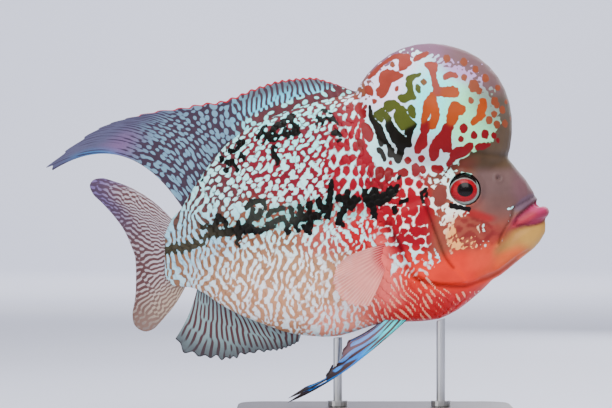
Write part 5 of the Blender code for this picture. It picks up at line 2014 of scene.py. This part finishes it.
@dataclass
class Eye:
    """One eye: a wet dome with iris, pupil, and the brow's shadow painted black on its upper rim."""

    node: str
    side: float
    iris: float = 7.3
    pupil: float = 4.3
    finish: EyeFinish = EyeFinish("wet_eye")
    cornea: float = 0.5
    cornea_wide: float = 5.5
    around: int = 96
    rings: int = 40

    def build(self) -> Piece:
        """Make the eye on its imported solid.

        Returns:
            The eye.
        """
        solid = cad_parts[self.node]
        cloud = np.array([tuple(v.co) for v in solid.data.vertices]) / MM
        centre = cloud.mean(axis=0)
        axis = np.linalg.eigh(np.cov((cloud - centre).T))[1][:, 0]
        if axis[1] * self.side < 0.0:
            axis = -axis
        deep = abs((cloud - centre) @ axis).max()
        wide = np.linalg.norm(np.cross(cloud - centre, axis), axis=1).max()
        ahead = np.array([1.0, 0.0, 0.0]) - axis * axis[0]
        ahead = ahead / np.linalg.norm(ahead)
        up = np.cross(axis, ahead) * -self.side
        points, flats = [], []
        for i in range(self.rings + 1):
            polar = math.pi * i / self.rings
            for k in range(self.around):
                turn = 2.0 * math.pi * k / self.around
                flat = wide * math.sin(polar)
                cornea = self.cornea * math.exp(-(flat / self.cornea_wide) ** 2)
                cornea = cornea if 2 * i < self.rings else 0.0
                height = deep * math.cos(polar) + cornea
                points.append(centre + axis * height
                              + (ahead * math.cos(turn) + up * math.sin(turn)) * flat)
                flats.append((flat * math.cos(turn), flat * math.sin(turn), math.cos(polar)))
        faces = []
        for i in range(self.rings):
            for k in range(self.around):
                a, b = i * self.around + k, i * self.around + (k + 1) % self.around
                faces.append((a, a + self.around, b + self.around, b))
        layers = self.paint(np.array(flats))
        obj = Mesh(np.array(points), faces, layers).make(self.node + "_ball", self.finish.make())
        work = bmesh.new()
        work.from_mesh(obj.data)
        bmesh.ops.remove_doubles(work, verts=work.verts, dist=1e-7)
        bmesh.ops.recalc_face_normals(work, faces=work.faces)
        work.to_mesh(obj.data)
        work.free()
        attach(obj, "root")
        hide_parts(self.node)
        LOG.info("%s: %d faces", obj.name, len(faces))
        return obj

    def paint(self, disc: Array) -> dict[str, Array]:
        """Paint iris, pupil, and a black crescent at the top that is the brow's painted shadow.

        Args:
            disc: Each point's place ahead, up and out on the eye.

        Returns:
            Every layer of the finish by attribute name.
        """
        ahead, up = disc[:, 0] + 1.0, disc[:, 1] + 1.1
        reach = np.hypot(ahead / 1.05, up / 0.91)
        turn = np.arctan2(up, ahead)
        streak = 0.25 * np.sin(23.0 * turn) + 0.15 * np.sin(41.0 * turn + 1.0)
        iris = ease((self.iris - reach) / 0.5)
        ground = mingle(srgb(160, 170, 166), srgb(180, 8, 22), iris)
        ground = mingle(ground, srgb(120, 8, 14), 0.6 * ease((reach - 6.0 + streak) / 1.2) * iris)
        ring = np.exp(-((reach - self.pupil - 0.5) / 0.45) ** 2)
        ground = mingle(ground, srgb(196, 30, 26), 0.5 * ring)
        pupil = (self.pupil - reach) * 1.6
        lid = np.minimum((reach - self.iris - 0.25) * 2.0, 9.6 - np.hypot(disc[:, 0], disc[:, 1]))
        # Painted shadow: the brow's shadow over the top of the eye, painted as a black crescent.
        brow_shadow = np.minimum(lid, np.minimum((disc[:, 1] + 1.0) * 0.8, (6.2 - disc[:, 0]) * 0.8))
        hidden = np.where(disc[:, 2] < -0.35, 2.0, -2.0)
        return {"ground": ground, "ink": np.maximum.reduce([pupil, brow_shadow, hidden])}


@dataclass
class Stand:
    """The wooden base and the two steel rods."""

    wood: WoodFinish = WoodFinish("stand_wood_finish")
    steel: SteelFinish = SteelFinish("stand_steel_finish")

    def build(self) -> None:
        """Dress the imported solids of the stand."""
        wood, steel = self.wood.make(), self.steel.make()
        for name, material in (("stand_base", wood), ("stand_rod_front", steel),
                               ("stand_rod_rear", steel)):
            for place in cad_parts[name].material_slots:
                place.material = material
            LOG.info("%s dressed", name)


@dataclass
class Studio:
    """A pale floor, a long lens and soft lights, in metres.

    Each lamp has its name, its place, the side of its square, its watts and where it points.
    """

    distance: float = 1.7
    sensor: float = 36.0
    floor: FloorFinish = FloorFinish("studio_floor")
    half_wide: float = 6.0
    sweep_start: float = 4.2
    sweep: float = 1.2
    wall_high: float = 4.0
    sweep_steps: int = 12
    lamps: tuple = (
        ("key", (0.25, -0.75, 0.95), 0.9, 21, (0, 0, 0.12)),
        ("top", (-0.05, 0.05, 1.15), 1, 13, (0, 0, 0.12)),
        ("fill", (-0.9, -0.9, 0.35), 0.9, 7, (0, 0, 0.12)),
        ("back", (0.5, 1, 0.6), 0.9, 8, (0, 0, 0.12)),
        ("wall", (0, 2.6, 2.6), 2, 160, (0, 5.2, 0.8)),
    )
    air: tuple = (0.9, 0.92, 0.94, 1.0)
    air_strength: float = 0.34

    def build(self) -> None:
        """Build the floor, the lights and the camera."""
        self.add_floor()
        for lamp in self.lamps:
            self.add_light(*lamp)
        world = bpy.data.worlds.new("studio_air")
        world.use_nodes = True
        air = world.node_tree.nodes["Background"]
        air.inputs["Color"].default_value = self.air
        air.inputs["Strength"].default_value = self.air_strength
        bpy.context.scene.world = world
        self.add_camera()

    def add_floor(self) -> None:
        """Add a floor that sweeps up into a backdrop."""
        profile = [(-self.half_wide, 0.0)]
        for k in range(self.sweep_steps + 1):
            angle = math.pi / 2.0 * k / self.sweep_steps
            profile.append((self.sweep_start + self.sweep * math.sin(angle),
                            self.sweep - self.sweep * math.cos(angle)))
        profile.append((self.sweep_start + self.sweep, self.wall_high))
        points = [(x / MM, y / MM, z / MM) for y, z in profile
                  for x in (-self.half_wide, self.half_wide)]
        faces = [(2 * k, 2 * k + 1, 2 * k + 3, 2 * k + 2) for k in range(len(profile) - 1)]
        floor = Mesh(np.array(points), faces).make("studio_floor", self.floor.make())

    def add_light(self, name: str, place: Colour, size: float, power: float,
                  target: Colour) -> None:
        """Add one soft light.

        Args:
            name: The light's name.
            place: Where it hangs, in metres.
            size: The side of its square, in metres.
            power: Its power in watts.
            target: Where it points, in metres.
        """
        lamp = bpy.data.lights.new(name, "AREA")
        lamp.size = size
        lamp.energy = power
        obj = bpy.data.objects.new(name, lamp)
        obj.location = place
        aim = Vector(target) - Vector(place)
        obj.rotation_euler = aim.to_track_quat("-Z", "Y").to_euler()
        bpy.context.scene.collection.objects.link(obj)

    def add_camera(self) -> None:
        """Add the camera, level and square to the flank."""
        lens = bpy.data.cameras.new("camera")
        wide = PHOTO_WIDE * MM_PER_PIXEL * MM
        lens.sensor_width = self.sensor
        lens.lens = self.sensor * self.distance / wide
        lens.clip_end = 20.0
        obj = bpy.data.objects.new("camera", lens)
        middle_x = (PHOTO_WIDE / 2.0 - MIDDLE_PIXEL) * MM_PER_PIXEL
        middle_z = TOP_LEVEL - MM_PER_PIXEL * PHOTO_HIGH / 2.0
        obj.location = (middle_x * MM, -self.distance, middle_z * MM)
        obj.rotation_euler = (math.pi / 2.0, 0.0, 0.0)
        bpy.context.scene.collection.objects.link(obj)
        bpy.context.scene.camera = obj


def main() -> None:
    """Build every class in order."""
    logging.basicConfig(level=logging.INFO, format="%(message)s")
    skin_maker = Skin()
    skin = skin_maker.build()
    for side, word in ((-1.0, "right"), (1.0, "left")):
        Scales(side, "scales_" + word).build(skin, skin_maker.coat)
        Eye("eye_" + word, side).build()
    FinSet().build(skin)
    Stand().build()
    Studio().build()


if __name__ == "__main__":
    main()
